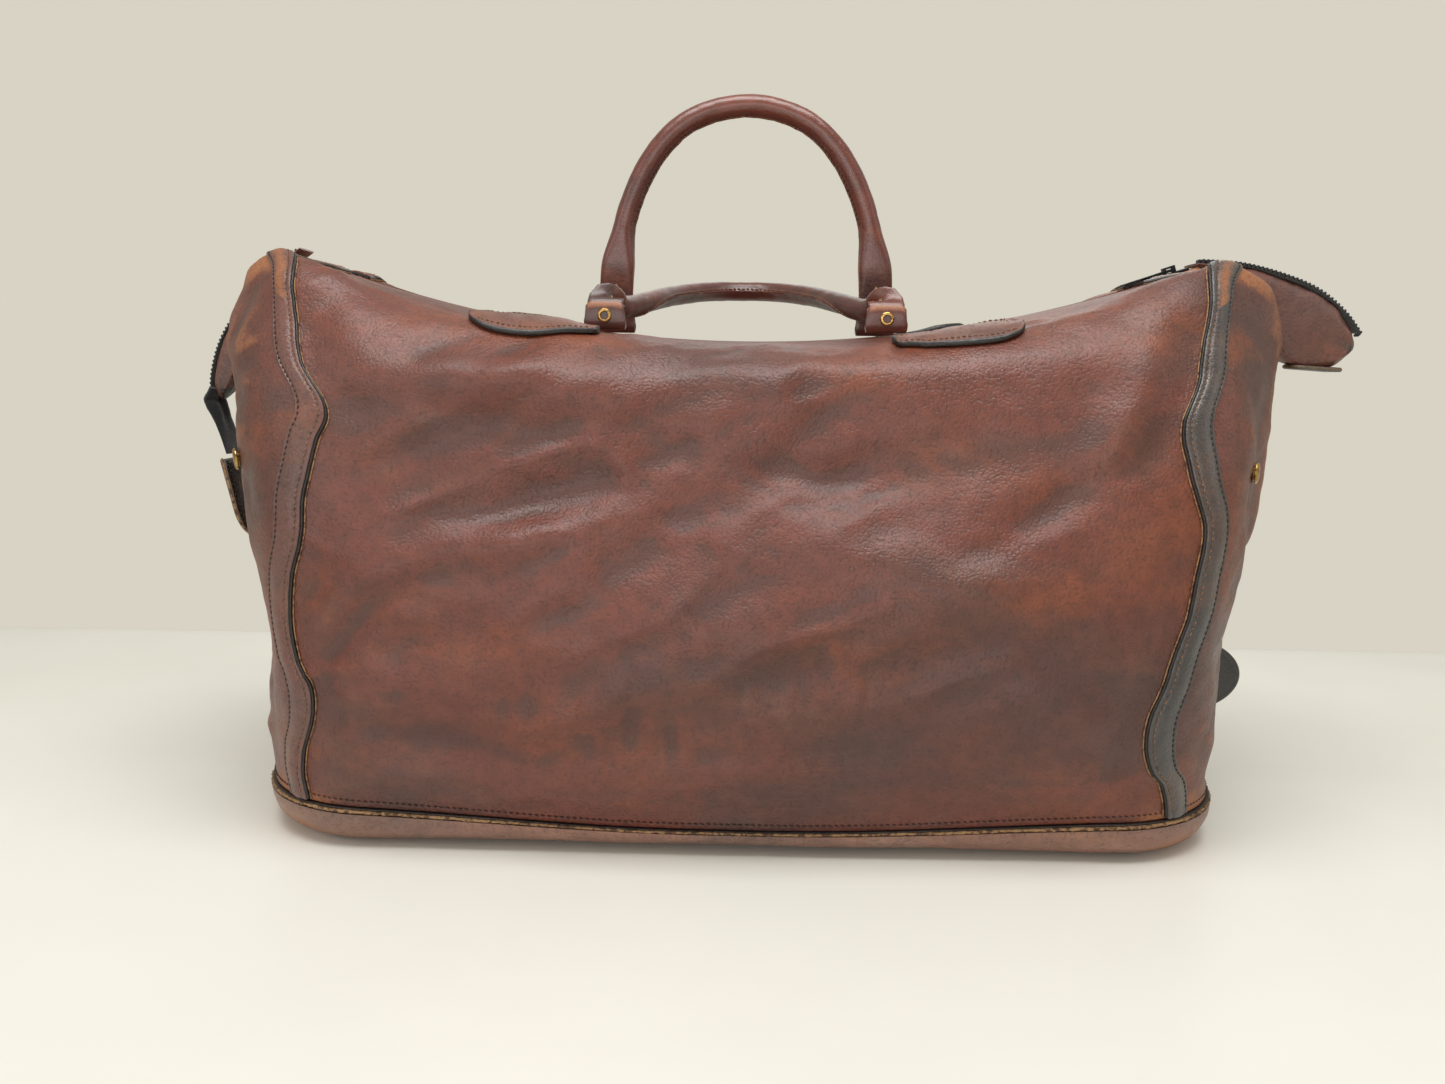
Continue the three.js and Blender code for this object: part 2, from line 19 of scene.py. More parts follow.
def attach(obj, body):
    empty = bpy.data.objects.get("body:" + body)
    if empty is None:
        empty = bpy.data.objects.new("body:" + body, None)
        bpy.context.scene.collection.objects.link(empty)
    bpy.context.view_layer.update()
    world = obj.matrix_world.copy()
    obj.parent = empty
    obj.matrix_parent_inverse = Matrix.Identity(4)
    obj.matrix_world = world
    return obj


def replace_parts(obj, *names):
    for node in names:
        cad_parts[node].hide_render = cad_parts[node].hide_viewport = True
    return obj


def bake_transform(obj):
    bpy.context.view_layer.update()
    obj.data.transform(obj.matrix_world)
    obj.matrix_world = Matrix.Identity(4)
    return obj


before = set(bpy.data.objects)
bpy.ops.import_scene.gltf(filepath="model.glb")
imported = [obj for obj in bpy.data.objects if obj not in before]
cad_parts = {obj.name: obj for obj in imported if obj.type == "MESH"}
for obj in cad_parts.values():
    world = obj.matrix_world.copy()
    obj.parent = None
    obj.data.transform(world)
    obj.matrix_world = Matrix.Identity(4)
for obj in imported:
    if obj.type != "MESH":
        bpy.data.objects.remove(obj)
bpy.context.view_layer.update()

LOG = logging.getLogger("weekender")
MM = 0.001
Grid = np.ndarray
Pairs = tuple[tuple[float, float], ...]


# ---- Numbers ----
def smooth(value: Grid | float) -> Grid:
    """Eases from 0 to 1 as the value goes from 0 to 1, and holds beyond."""
    t = np.clip(value, 0.0, 1.0)
    return t * t * (3 - 2 * t)


def bump(x: Grid, middle: float, width: float) -> Grid:
    """A rounded bump that is 1 at its middle and dies away over its width."""
    return np.exp(-(((x - middle) / width) ** 2))


def mirrored(side: Sequence[tuple[float, float]], middle: tuple[float, float]) -> list[tuple[float, float]]:
    """One side of an outline, the point on its middle line, and the other side."""
    return [*side, middle, *((-across, height) for across, height in reversed(side))]


def through(x: Grid | float, pairs: Pairs) -> Grid:
    """A smooth curve through given points.

    Args:
        x: where to read the curve; it holds its end values beyond them.
        pairs: the points that it passes through, in rising order.

    Returns:
        The curve's value at each x.
    """
    xs, ys = np.array(pairs, float).T
    slope = np.empty_like(ys)
    slope[1:-1] = (ys[2:] - ys[:-2]) / (xs[2:] - xs[:-2])
    slope[0] = (ys[1] - ys[0]) / (xs[1] - xs[0])
    slope[-1] = (ys[-1] - ys[-2]) / (xs[-1] - xs[-2])
    x = np.clip(x, xs[0], xs[-1])
    i = np.clip(np.searchsorted(xs, x, side="right") - 1, 0, len(xs) - 2)
    span = xs[i + 1] - xs[i]
    s = (x - xs[i]) / span
    rise = ys[i + 1] - ys[i]
    m0, m1 = slope[i] * span, slope[i + 1] * span
    return ys[i] + m0 * s + (3 * rise - 2 * m0 - m1) * s**2 + (m0 + m1 - 2 * rise) * s**3


@dataclass(frozen=True)
class Unevenness:
    """Smooth seeded unevenness over a plane."""

    seed: int

    def at(self, x: Grid, y: Grid) -> Grid:
        """Values from -1 to 1 with one cell per unit.

        Args:
            x: first coordinate, in cells.
            y: second coordinate, in cells.

        Returns:
            The unevenness at each place.
        """
        table = np.random.default_rng(self.seed).random((97, 89)) * 2 - 1
        i, j = np.floor(x).astype(int), np.floor(y).astype(int)
        u, v = smooth(x - i), smooth(y - j)
        i0, i1, j0, j1 = i % 97, (i + 1) % 97, j % 89, (j + 1) % 89
        low = table[i0, j0] * (1 - u) + table[i1, j0] * u
        high = table[i0, j1] * (1 - u) + table[i1, j1] * u
        return low * (1 - v) + high * v

    def layered(self, x: Grid, y: Grid, layers: int = 3) -> Grid:
        """The sum of ever finer and weaker layers.

        Args:
            x: first coordinate, in cells of the coarsest layer.
            y: second coordinate, in cells of the coarsest layer.
            layers: how many layers are summed.

        Returns:
            The summed unevenness at each place.
        """
        total = np.zeros(np.broadcast(x, y).shape)
        for k in range(layers):
            total = total + Unevenness(self.seed + 11 * k).at(x * 2.03**k + 5.3 * k, y * 2.03**k) * 0.52**k
        return total


# ---- Meshes ----
class Body(Enum):
    """The moving bodies of the frame."""

    BAG = "bag"
    FRONT_HANDLE = "front_handle"
    REAR_HANDLE = "rear_handle"
    SLIDER = "slider"
    PULL = "pull"
    LEFT_ZIP_END = "left_zip_end"
    LEFT_TAB = "left_tab"
    RIGHT_ZIP_END = "right_zip_end"
    RIGHT_TAB = "right_tab"


def mesh_object(
    name: str, points: Grid, faces: Iterable[Sequence[int]], sharp: float = 50
) -> bpy.types.Object:
    """A smooth-shaded object from points and faces.

    Args:
        name: the piece's name.
        points: one row per point, in millimetres.
        faces: the point numbers of each face, counter-clockwise from outside.
        sharp: edges that bend more than this many degrees stay crisp.

    Returns:
        The new object, linked to the scene.
    """
    mesh = bpy.data.meshes.new(name)
    mesh.from_pydata((np.asarray(points).reshape(-1, 3) * MM).tolist(), [], [list(f) for f in faces])
    mesh.validate()
    mesh.shade_smooth()
    mesh.set_sharp_from_angle(angle=math.radians(sharp))
    obj = bpy.data.objects.new(name, mesh)
    bpy.context.scene.collection.objects.link(obj)
    return obj


def loop_faces(rows: int, count: int, ring: bool = False) -> list[tuple[int, ...]]:
    """Faces that join rows of closed loops, with a cap on each end.

    Args:
        rows: how many loops there are.
        count: how many points each loop has.
        ring: the last loop joins the first one, and there are no caps.

    Returns:
        The faces, as point numbers.
    """
    i = np.arange(count)
    k = (i + 1) % count
    faces: list[tuple[int, ...]] = []
    for j in range(rows if ring else rows - 1):
        low, high = j * count, ((j + 1) % rows) * count
        faces.extend(zip((low + i).tolist(), (low + k).tolist(), (high + k).tolist(), (high + i).tolist()))
    if not ring:
        faces.append(tuple(reversed(range(count))))
        faces.append(tuple((rows - 1) * count + n for n in range(count)))
    return faces


def facing_out(obj: bpy.types.Object) -> bpy.types.Object:
    """Turns every face of a closed piece outward, and hands the piece back."""
    work = bmesh.new()
    work.from_mesh(obj.data)
    bmesh.ops.recalc_face_normals(work, faces=work.faces)
    work.to_mesh(obj.data)
    work.free()
    return obj


def sweep(name: str, loops: Grid, ring: bool = False, sharp: float = 50) -> bpy.types.Object:
    """A closed piece through a row of loops.

    Args:
        name: the piece's name.
        loops: the loops' points, as rows by points by 3.
        ring: the last loop joins the first one.
        sharp: edges that bend more than this many degrees stay crisp.

    Returns:
        The new object.
    """
    rows, count = loops.shape[:2]
    return facing_out(mesh_object(name, loops, loop_faces(rows, count, ring), sharp))


def shell(name: str, outer: Grid, inner: Grid, ring: bool = False) -> bpy.types.Object:
    """A sheet with an outside, an inside and closed rims.

    Args:
        name: the piece's name.
        outer: the outside's points, as levels by places by 3.
        inner: the inside's points, in the same order.
        ring: the last place joins the first one.

    Returns:
        The new object. Its points are the outside's and then the inside's.
    """
    rows, count = outer.shape[:2]
    total = rows * count
    faces: list[tuple[int, ...]] = []
    places = np.arange(count if ring else count - 1)
    after = (places + 1) % count
    for j in range(rows - 1):
        a, b = j * count, (j + 1) * count
        faces.extend(
            zip((a + places).tolist(), (a + after).tolist(), (b + after).tolist(), (b + places).tolist())
        )
        a, b = a + total, b + total
        faces.extend(
            zip((a + after).tolist(), (a + places).tolist(), (b + places).tolist(), (b + after).tolist())
        )
    top = (rows - 1) * count
    faces.extend(
        zip((after).tolist(), (places).tolist(), (places + total).tolist(), (after + total).tolist())
    )
    faces.extend(
        zip(
            (top + places).tolist(), (top + after).tolist(), (top + after + total).tolist(),
            (top + places + total).tolist()
        )
    )
    if not ring:
        for j in range(rows - 1):
            a, b = j * count, (j + 1) * count
            faces.append((a, b, b + total, a + total))
            a, b = a + count - 1, b + count - 1
            faces.append((b, a, a + total, b + total))
    return mesh_object(name, np.concatenate([outer.reshape(-1, 3), inner.reshape(-1, 3)]), faces)


def mark(obj: bpy.types.Object, name: str, values: Grid) -> None:
    """Stores one number per point, which the finishes read by name."""
    whole = np.zeros(len(obj.data.vertices), np.float32)
    flat = np.asarray(values, np.float32).ravel()
    whole[: len(flat)] = flat[: len(whole)]
    obj.data.attributes.new(name, "FLOAT", "POINT").data.foreach_set("value", whole)


def turned(name: str, profile: Pairs, origin: Grid, axis: Grid, steps: int = 48) -> bpy.types.Object:
    """A piece turned on a lathe.

    Args:
        name: the piece's name.
        profile: the radius and height of each point of its outline.
        origin: the place of height 0 on its axis.
        axis: the direction in which the height grows.
        steps: how many sides it has.

    Returns:
        The new object.
    """
    axis = np.asarray(axis, float) / np.linalg.norm(axis)
    side = np.cross(axis, [0.0, 0.0, 1.0] if abs(axis[2]) < 0.9 else [1.0, 0.0, 0.0])
    side /= np.linalg.norm(side)
    other = np.cross(axis, side)
    angle = np.linspace(0, 2 * np.pi, steps, endpoint=False)
    spoke = np.cos(angle)[:, None] * side + np.sin(angle)[:, None] * other
    closed = profile[0] == profile[-1]
    rows = profile[:-1] if closed else profile
    loops = np.array([np.asarray(origin) + max(r, 0.02) * spoke + h * axis for r, h in rows])
    return sweep(name, loops, ring=closed, sharp=40)


def along_path(points: Grid, spacing: float) -> tuple[Grid, Grid]:
    """Even steps along a line of points.

    Args:
        points: the line's points.
        spacing: about how far apart the steps are.

    Returns:
        The row position of each step on the line, and the length up to it.
    """
    run = np.concatenate([[0], np.cumsum(np.linalg.norm(np.diff(points, axis=0), axis=1))])
    steps = max(2, int(round(run[-1] / spacing)) + 1)
    length = np.linspace(0, run[-1], steps)
    return np.interp(length, run, np.arange(len(points))), length


def read_line(points: Grid, place: Grid) -> Grid:
    """The points of a line at broken row positions."""
    rows = np.arange(len(points))
    return np.stack([np.interp(place, rows, points[:, k]) for k in range(3)], axis=1)


def stitches(
    name: str, line: Grid, normal: Grid, pitch: float = 3.1, length: float = 2.3, radius: float = 0.42
) -> bpy.types.Object:
    """A row of short arched stitches, as one mesh.

    Args:
        name: the piece's name.
        line: the points that the row follows.
        normal: the outward direction at each of those points.
        pitch: from one stitch to the next.
        length: how long each stitch shows.
        radius: half the thread's thickness.

    Returns:
        The new object.
    """
    place, _ = along_path(line, pitch)
    middle = (place[:-1] + place[1:]) / 2
    centre, up = read_line(line, middle), read_line(normal, middle)
    ahead = read_line(
        line, np.minimum(middle + 0.3, len(line) - 1)
    ) - read_line(line, np.maximum(middle - 0.3, 0))
    ahead /= np.linalg.norm(ahead, axis=1, keepdims=True) + 1e-9
    up /= np.linalg.norm(up, axis=1, keepdims=True) + 1e-9
    across = np.cross(ahead, up)
    steps, sides = 6, 6
    t = np.linspace(-1, 1, steps)
    fat = radius * np.sqrt(np.clip(1 - np.abs(t) ** 3, 0.06, 1))
    lift = radius * (0.65 - 1.1 * t**2)
    angle = np.linspace(0, 2 * np.pi, sides, endpoint=False)
    slant = 0.16 * length * t / 2
    template = np.stack(
        [
            np.repeat(t * length / 2, sides),
            (slant[:, None] + fat[:, None] * np.cos(angle)).ravel(),
            (lift[:, None] + fat[:, None] * np.sin(angle)).ravel(),
        ],
        axis=1,
    )
    points = centre[:, None] + (
        template[None, :, :1] * ahead[:, None]
        + template[None, :, 1:2] * across[:, None]
        + template[None, :, 2:] * up[:, None]
    )
    faces = loop_faces(steps, sides)
    every = [tuple(n + s * steps * sides for n in f) for s in range(len(centre)) for f in faces]
    return facing_out(mesh_object(name, points, every, 80))


def rounded(obj: bpy.types.Object, width: float, segments: int = 2) -> None:
    """Rounds the crisp edges of a carried-over part with a modifier."""
    bevel = obj.modifiers.new("rounded edges", "BEVEL")
    bevel.width = width * MM
    bevel.segments = segments
    bevel.limit_method = "ANGLE"
    bevel.angle_limit = math.radians(35)


def finish_piece(
    obj: bpy.types.Object,
    finish: "Finish",
    slot: str,
    body: Body | None = Body.BAG,
    nodes: Sequence[str] = (),
) -> bpy.types.Object:
    """Gives a piece its finish, its body and the parts of the frame that it stands for.

    Args:
        obj: the piece.
        finish: its finish.
        slot: not used.
        body: the body that it rides on, or None to attach it to no body.
        nodes: the frame's parts that it replaces.

    Returns:
        The same piece.
    """
    obj.data.materials.clear()
    obj.data.materials.append(WARDROBE.get(finish))
    if body is not None:
        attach(obj, body.value)
    if nodes:
        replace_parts(obj, *nodes)
    LOG.info("%s: %d faces", obj.name, len(obj.data.polygons))
    return obj


# ---- Finishes ----
def tone(red: int, green: int, blue: int) -> tuple[float, float, float, float]:
    """A colour from its 0 to 255 display values."""
    linear = [((c / 255 + 0.055) / 1.055) ** 2.4 if c > 10 else c / 255 / 12.92 for c in (red, green, blue)]
    return (linear[0], linear[1], linear[2], 1.0)


class Wiring:
    """Adds and joins the nodes of one material or node group."""

    def __init__(self, tree: bpy.types.NodeTree) -> None:
        """Works on the given tree."""
        self.tree = tree

    def link(self, source: bpy.types.NodeSocket, target: bpy.types.NodeSocket) -> None:
        """Joins an output to an input."""
        self.tree.links.new(source, target)

    def add(self, kind: str, inputs: dict | None = None, **settings: object) -> bpy.types.Node:
        """Adds one node.

        Args:
            kind: the node's type.
            inputs: values or other nodes' sockets, by input name or number.
            **settings: the node's own properties.

        Returns:
            The new node.
        """
        node = self.tree.nodes.new(kind)
        for key, value in settings.items():
            setattr(node, key, value)
        for key, value in (inputs or {}).items():
            if isinstance(value, bpy.types.NodeSocket):
                self.tree.links.new(value, node.inputs[key])
            else:
                node.inputs[key].default_value = value
        return node

    def math(
        self, operation: str, first: object, second: object = 0.0, clamp: bool = False
    ) -> bpy.types.NodeSocket:
        """The output of one Math node."""
        return self.add(
            "ShaderNodeMath", {0: first, 1: second}, operation=operation, use_clamp=clamp
        ).outputs[0]

    def spread(
        self, value: object, low: float, high: float, to_low: float = 0.0, to_high: float = 1.0
    ) -> bpy.types.NodeSocket:
        """A value eased from one range to another."""
        inputs = {"Value": value, "From Min": low, "From Max": high, "To Min": to_low, "To Max": to_high}
        return self.add("ShaderNodeMapRange", inputs, interpolation_type="SMOOTHSTEP").outputs[0]

    def mix(self, factor: object, first: object, second: object, blend: str = "MIX") -> bpy.types.NodeSocket:
        """Two colours mixed by a factor."""
        node = self.add("ShaderNodeMix", {0: factor, 6: first, 7: second}, data_type="RGBA", blend_type=blend)
        return node.outputs[2]

    def noise(
        self, vector: object, scale: float, detail: float = 3.0, rough: float = 0.55
    ) -> bpy.types.NodeSocket:
        """The value of a noise texture."""
        inputs = {"Vector": vector, "Scale": scale, "Detail": detail, "Roughness": rough}
        return self.add("ShaderNodeTexNoise", inputs).outputs["Fac"]

    def stretched(
        self, vector: object, scale: Sequence[float], turn: Sequence[float] = (0, 0, 0)
    ) -> bpy.types.NodeSocket:
        """Coordinates turned and then stretched."""
        inputs = {"Vector": vector, "Scale": scale, "Rotation": turn}
        return self.add("ShaderNodeMapping", inputs).outputs[0]


class Effect(Enum):
    """The effects that finishes share, by the name of their node group."""

    GRAIN = "pebble grain"
    MOTTLE = "leather mottle"
    WEAR = "edge wear"
    SCRATCHES = "fine scratches"
    WEAVE = "cloth weave"
    FIBRES = "raw fibres"
    SMUDGE = "handled sheen"


class EffectShelf:
    """Builds each shared effect once and places it in materials."""

    def __init__(self) -> None:
        """Starts with nothing built."""
        self.made: dict[Effect, bpy.types.NodeTree] = {}

    def place(self, wiring: Wiring, effect: Effect, inputs: dict) -> bpy.types.Node:
        """Places an effect in a material.

        Args:
            wiring: the material's wiring.
            effect: which effect.
            inputs: its values, by input name.

        Returns:
            The group node.
        """
        if effect not in self.made:
            build = {
                Effect.GRAIN: self.grain, Effect.MOTTLE: self.mottle, Effect.WEAR: self.wear,
                Effect.SCRATCHES: self.scratches, Effect.WEAVE: self.weave, Effect.FIBRES: self.fibres,
                Effect.SMUDGE: self.smudge,
            }[effect]
            self.made[effect] = build(effect.value)
        node = wiring.add("ShaderNodeGroup", node_tree=self.made[effect])
        for key, value in inputs.items():
            if isinstance(value, bpy.types.NodeSocket):
                wiring.link(value, node.inputs[key])
            else:
                node.inputs[key].default_value = value
        return node

    @staticmethod
    def blank(
        name: str, takes: dict[str, str], gives: dict[str, str]
    ) -> tuple[Wiring, bpy.types.Node, bpy.types.Node]:
        """An empty node group with its named sockets.

        Args:
            name: the group's name.
            takes: the kind of each input, by name.
            gives: the kind of each output, by name.

        Returns:
            The wiring, the group's input node and its output node.
        """
        tree = bpy.data.node_groups.new(name, "ShaderNodeTree")
        for label, kind in takes.items():
            tree.interface.new_socket(name=label, in_out="INPUT", socket_type=f"NodeSocket{kind}")
        for label, kind in gives.items():
            tree.interface.new_socket(name=label, in_out="OUTPUT", socket_type=f"NodeSocket{kind}")
        wiring = Wiring(tree)
        return wiring, wiring.add("NodeGroupInput"), wiring.add("NodeGroupOutput")

    def grain(self, name: str) -> bpy.types.NodeTree:
        """Rounded pebbles with fine pores, in cells per metre."""
        w, given, out = self.blank(
            name, {"Vector": "Vector", "Cells": "Float"}, {"Height": "Float", "Pits": "Float"}
        )
        place, cells = given.outputs["Vector"], given.outputs["Cells"]
        drift = w.add("ShaderNodeTexNoise", {"Vector": place, "Scale": 160.0, "Detail": 2.0}).outputs["Color"]
        bent = w.add("ShaderNodeVectorMath", {0: drift, 1: (0.0016,) * 3}, operation="MULTIPLY").outputs[0]
        moved = w.add("ShaderNodeVectorMath", {0: place, 1: bent}, operation="ADD").outputs[0]
        cell = w.add(
            "ShaderNodeTexVoronoi", {"Vector": moved, "Scale": cells}, feature="F1"
        ).outputs["Distance"]
        fine = w.add(
            "ShaderNodeTexNoise", {"Vector": place, "Scale": w.math("MULTIPLY", cells, 2.6), "Detail": 2.0}
        )
        dome = w.math("SUBTRACT", 1.0, w.math("POWER", cell, 2.0))
        height = w.math("ADD", w.math("MULTIPLY", dome, 0.72), w.math("MULTIPLY", fine.outputs["Fac"], 0.5))
        w.link(height, out.inputs["Height"])
        w.link(w.spread(cell, 0.55, 0.85), out.inputs["Pits"])
        return w.tree

    def mottle(self, name: str) -> bpy.types.NodeTree:
        """Broad patches of four colours that run into each other."""
        colours = {"Main": "Color", "Deep": "Color", "Warm": "Color", "Pale": "Color"}
        w, given, out = self.blank(
            name, {"Vector": "Vector", "Patches": "Float", **colours}, {"Color": "Color"}
        )
        place, patches = given.outputs["Vector"], given.outputs["Patches"]
        wide = w.stretched(place, (0.6, 1.0, 1.15), (0.0, 0.28, 0.0))
        first = w.add(
            "ShaderNodeTexNoise", {"Vector": wide, "Scale": patches, "Detail": 4.0, "Roughness": 0.6}
        )
        second = w.noise(w.stretched(wide, (1.4, 1.4, 1.6), (0.5, 0.2, 0.9)), 9.0, 4.0, 0.58)
        third = w.noise(w.stretched(place, (1.0, 1.0, 1.7), (0.1, -0.4, 0.3)), 12.0, 5.0, 0.62)
        speck = w.noise(place, 120.0, 3.0, 0.6)
        a = w.mix(w.spread(first.outputs["Fac"], 0.44, 0.66), given.outputs["Main"], given.outputs["Deep"])
        b = w.mix(w.spread(second, 0.5, 0.72), a, given.outputs["Warm"])
        c = w.mix(w.spread(third, 0.56, 0.76, 0.0, 0.75), b, given.outputs["Pale"])
        shade = w.spread(speck, 0.3, 0.7, 0.84, 1.12)
        tinted = w.add("ShaderNodeVectorMath", {0: c, "Scale": shade}, operation="SCALE").outputs[0]
        w.link(tinted, out.inputs["Color"])
        return w.tree

    def wear(self, name: str) -> bpy.types.NodeTree:
        """Finish rubbed through to a worn colour where the mask is strong."""
        takes = {"Vector": "Vector", "Color": "Color", "Worn": "Color", "Mask": "Float", "Reach": "Float"}
        w, given, out = self.blank(name, takes, {"Color": "Color", "Mask": "Float"})
        broken = w.noise(given.outputs["Vector"], 260.0, 4.0, 0.65)
        broad = w.noise(given.outputs["Vector"], 42.0, 3.0)
        raw = w.math("MULTIPLY", given.outputs["Mask"], given.outputs["Reach"])
        level = w.math("ADD", raw, w.math("MULTIPLY", w.math("ADD", broken, broad), 0.5))
        amount = w.math("MULTIPLY", w.spread(level, 0.78, 1.25), w.spread(given.outputs["Mask"], 0.02, 0.3))
        w.link(w.mix(amount, given.outputs["Color"], given.outputs["Worn"]), out.inputs["Color"])
        w.link(amount, out.inputs["Mask"])
        return w.tree

    def scratches(self, name: str) -> bpy.types.NodeTree:
        """Thin crossing hairlines."""
        w, given, out = self.blank(name, {"Vector": "Vector", "Amount": "Float"}, {"Mask": "Float"})
        place = given.outputs["Vector"]
        total: object = 0.0
        for turn, scale in (((0.2, 0.5, 0.1), 44.0), ((0.7, -0.9, 0.4), 37.0), ((0.1, 1.4, -0.3), 52.0)):
            value = w.noise(w.stretched(place, (0.35, 6.0, 7.5), turn), scale, 1.0, 0.4)
            line = w.math(
                "SUBTRACT", 1.0,
                w.math("MULTIPLY", w.math("ABSOLUTE", w.math("SUBTRACT", value, 0.62)), 70.0), True
            )
            total = w.math("ADD", total, line)
        where = w.spread(w.noise(place, 16.0, 2.0), 0.5, 0.68)
        mask = w.math("MULTIPLY", w.math("MULTIPLY", total, where), given.outputs["Amount"], True)
        w.link(mask, out.inputs["Mask"])
        return w.tree

    def weave(self, name: str) -> bpy.types.NodeTree:
        """Crossing threads, in threads per metre."""
        w, given, out = self.blank(
            name, {"Vector": "Vector", "Threads": "Float"}, {"Height": "Float", "Shade": "Float"}
        )
        turn = w.math("MULTIPLY", given.outputs["Threads"], math.tau)
        split = w.add("ShaderNodeSeparateXYZ", {0: given.outputs["Vector"]})
        waves = [w.math("SINE", w.math("MULTIPLY", split.outputs[k], turn)) for k in range(3)]
        cross = w.math(
            "MAXIMUM", w.math("MULTIPLY", waves[0], waves[1]), w.math("MULTIPLY", waves[0], waves[2])
        )
        fuzz = w.noise(given.outputs["Vector"], 1400.0, 2.0)
        height = w.math("ADD", w.math("MULTIPLY", cross, 0.5), w.math("MULTIPLY", fuzz, 0.6))
        w.link(height, out.inputs["Height"])
        w.link(w.spread(height, -0.2, 0.9, 0.7, 1.2), out.inputs["Shade"])
        return w.tree

    def fibres(self, name: str) -> bpy.types.NodeTree:
        """Short tangled fibres of a cut edge."""
        w, given, out = self.blank(name, {"Vector": "Vector"}, {"Height": "Float", "Dark": "Float"})
        place = given.outputs["Vector"]
        tuft = w.noise(w.stretched(place, (1.0, 1.0, 0.35), (0.4, 0.3, 0.0)), 1500.0, 4.0, 0.7)
        clump = w.noise(place, 330.0, 3.0, 0.6)
        w.link(w.math("ADD", tuft, w.math("MULTIPLY", clump, 0.8)), out.inputs["Height"])
        w.link(w.spread(clump, 0.45, 0.62), out.inputs["Dark"])
        return w.tree

    def smudge(self, name: str) -> bpy.types.NodeTree:
        """Where hands and years have polished or dulled a surface."""
        w, given, out = self.blank(
            name, {"Vector": "Vector", "Low": "Float", "High": "Float"}, {"Roughness": "Float"}
        )
        broad = w.noise(given.outputs["Vector"], 11.0, 4.0, 0.6)
        fine = w.noise(given.outputs["Vector"], 420.0, 3.0, 0.6)
        level = w.math("ADD", w.math("MULTIPLY", broad, 0.65), w.math("MULTIPLY", fine, 0.35))
        eased = w.spread(level, 0.36, 0.64)
        span = w.math("SUBTRACT", given.outputs["High"], given.outputs["Low"])
        w.link(w.math("ADD", given.outputs["Low"], w.math("MULTIPLY", eased, span)), out.inputs["Roughness"])
        return w.tree


SHELF = EffectShelf()


def new_material(name: str) -> tuple[bpy.types.Material, Wiring, bpy.types.Node, bpy.types.NodeSocket]:
    """An empty material with its shader.

    Args:
        name: the material's name.

    Returns:
        The material, its wiring, its Principled BSDF and the object's own coordinates.
    """
    material = bpy.data.materials.new(name)
    material.use_nodes = True
    wiring = Wiring(material.node_tree)
    shader = next(n for n in material.node_tree.nodes if n.type == "BSDF_PRINCIPLED")
    return material, wiring, shader, wiring.add("ShaderNodeTexCoord").outputs["Object"]


def relief(wiring: Wiring, shader: bpy.types.Node, layers: Sequence[tuple[object, float, float]]) -> None:
    """Puts bump layers under a shader.

    Args:
        wiring: the material's wiring.
        shader: the Principled BSDF.
        layers: the height, strength and depth in millimetres of each layer.
    """
    normal: object = None
    for height, strength, depth in layers:
        inputs = {"Height": height, "Strength": strength, "Distance": depth * MM}
        if normal is not None:
            inputs["Normal"] = normal
        normal = wiring.add("ShaderNodeBump", inputs).outputs[0]
    wiring.link(normal, shader.inputs["Normal"])


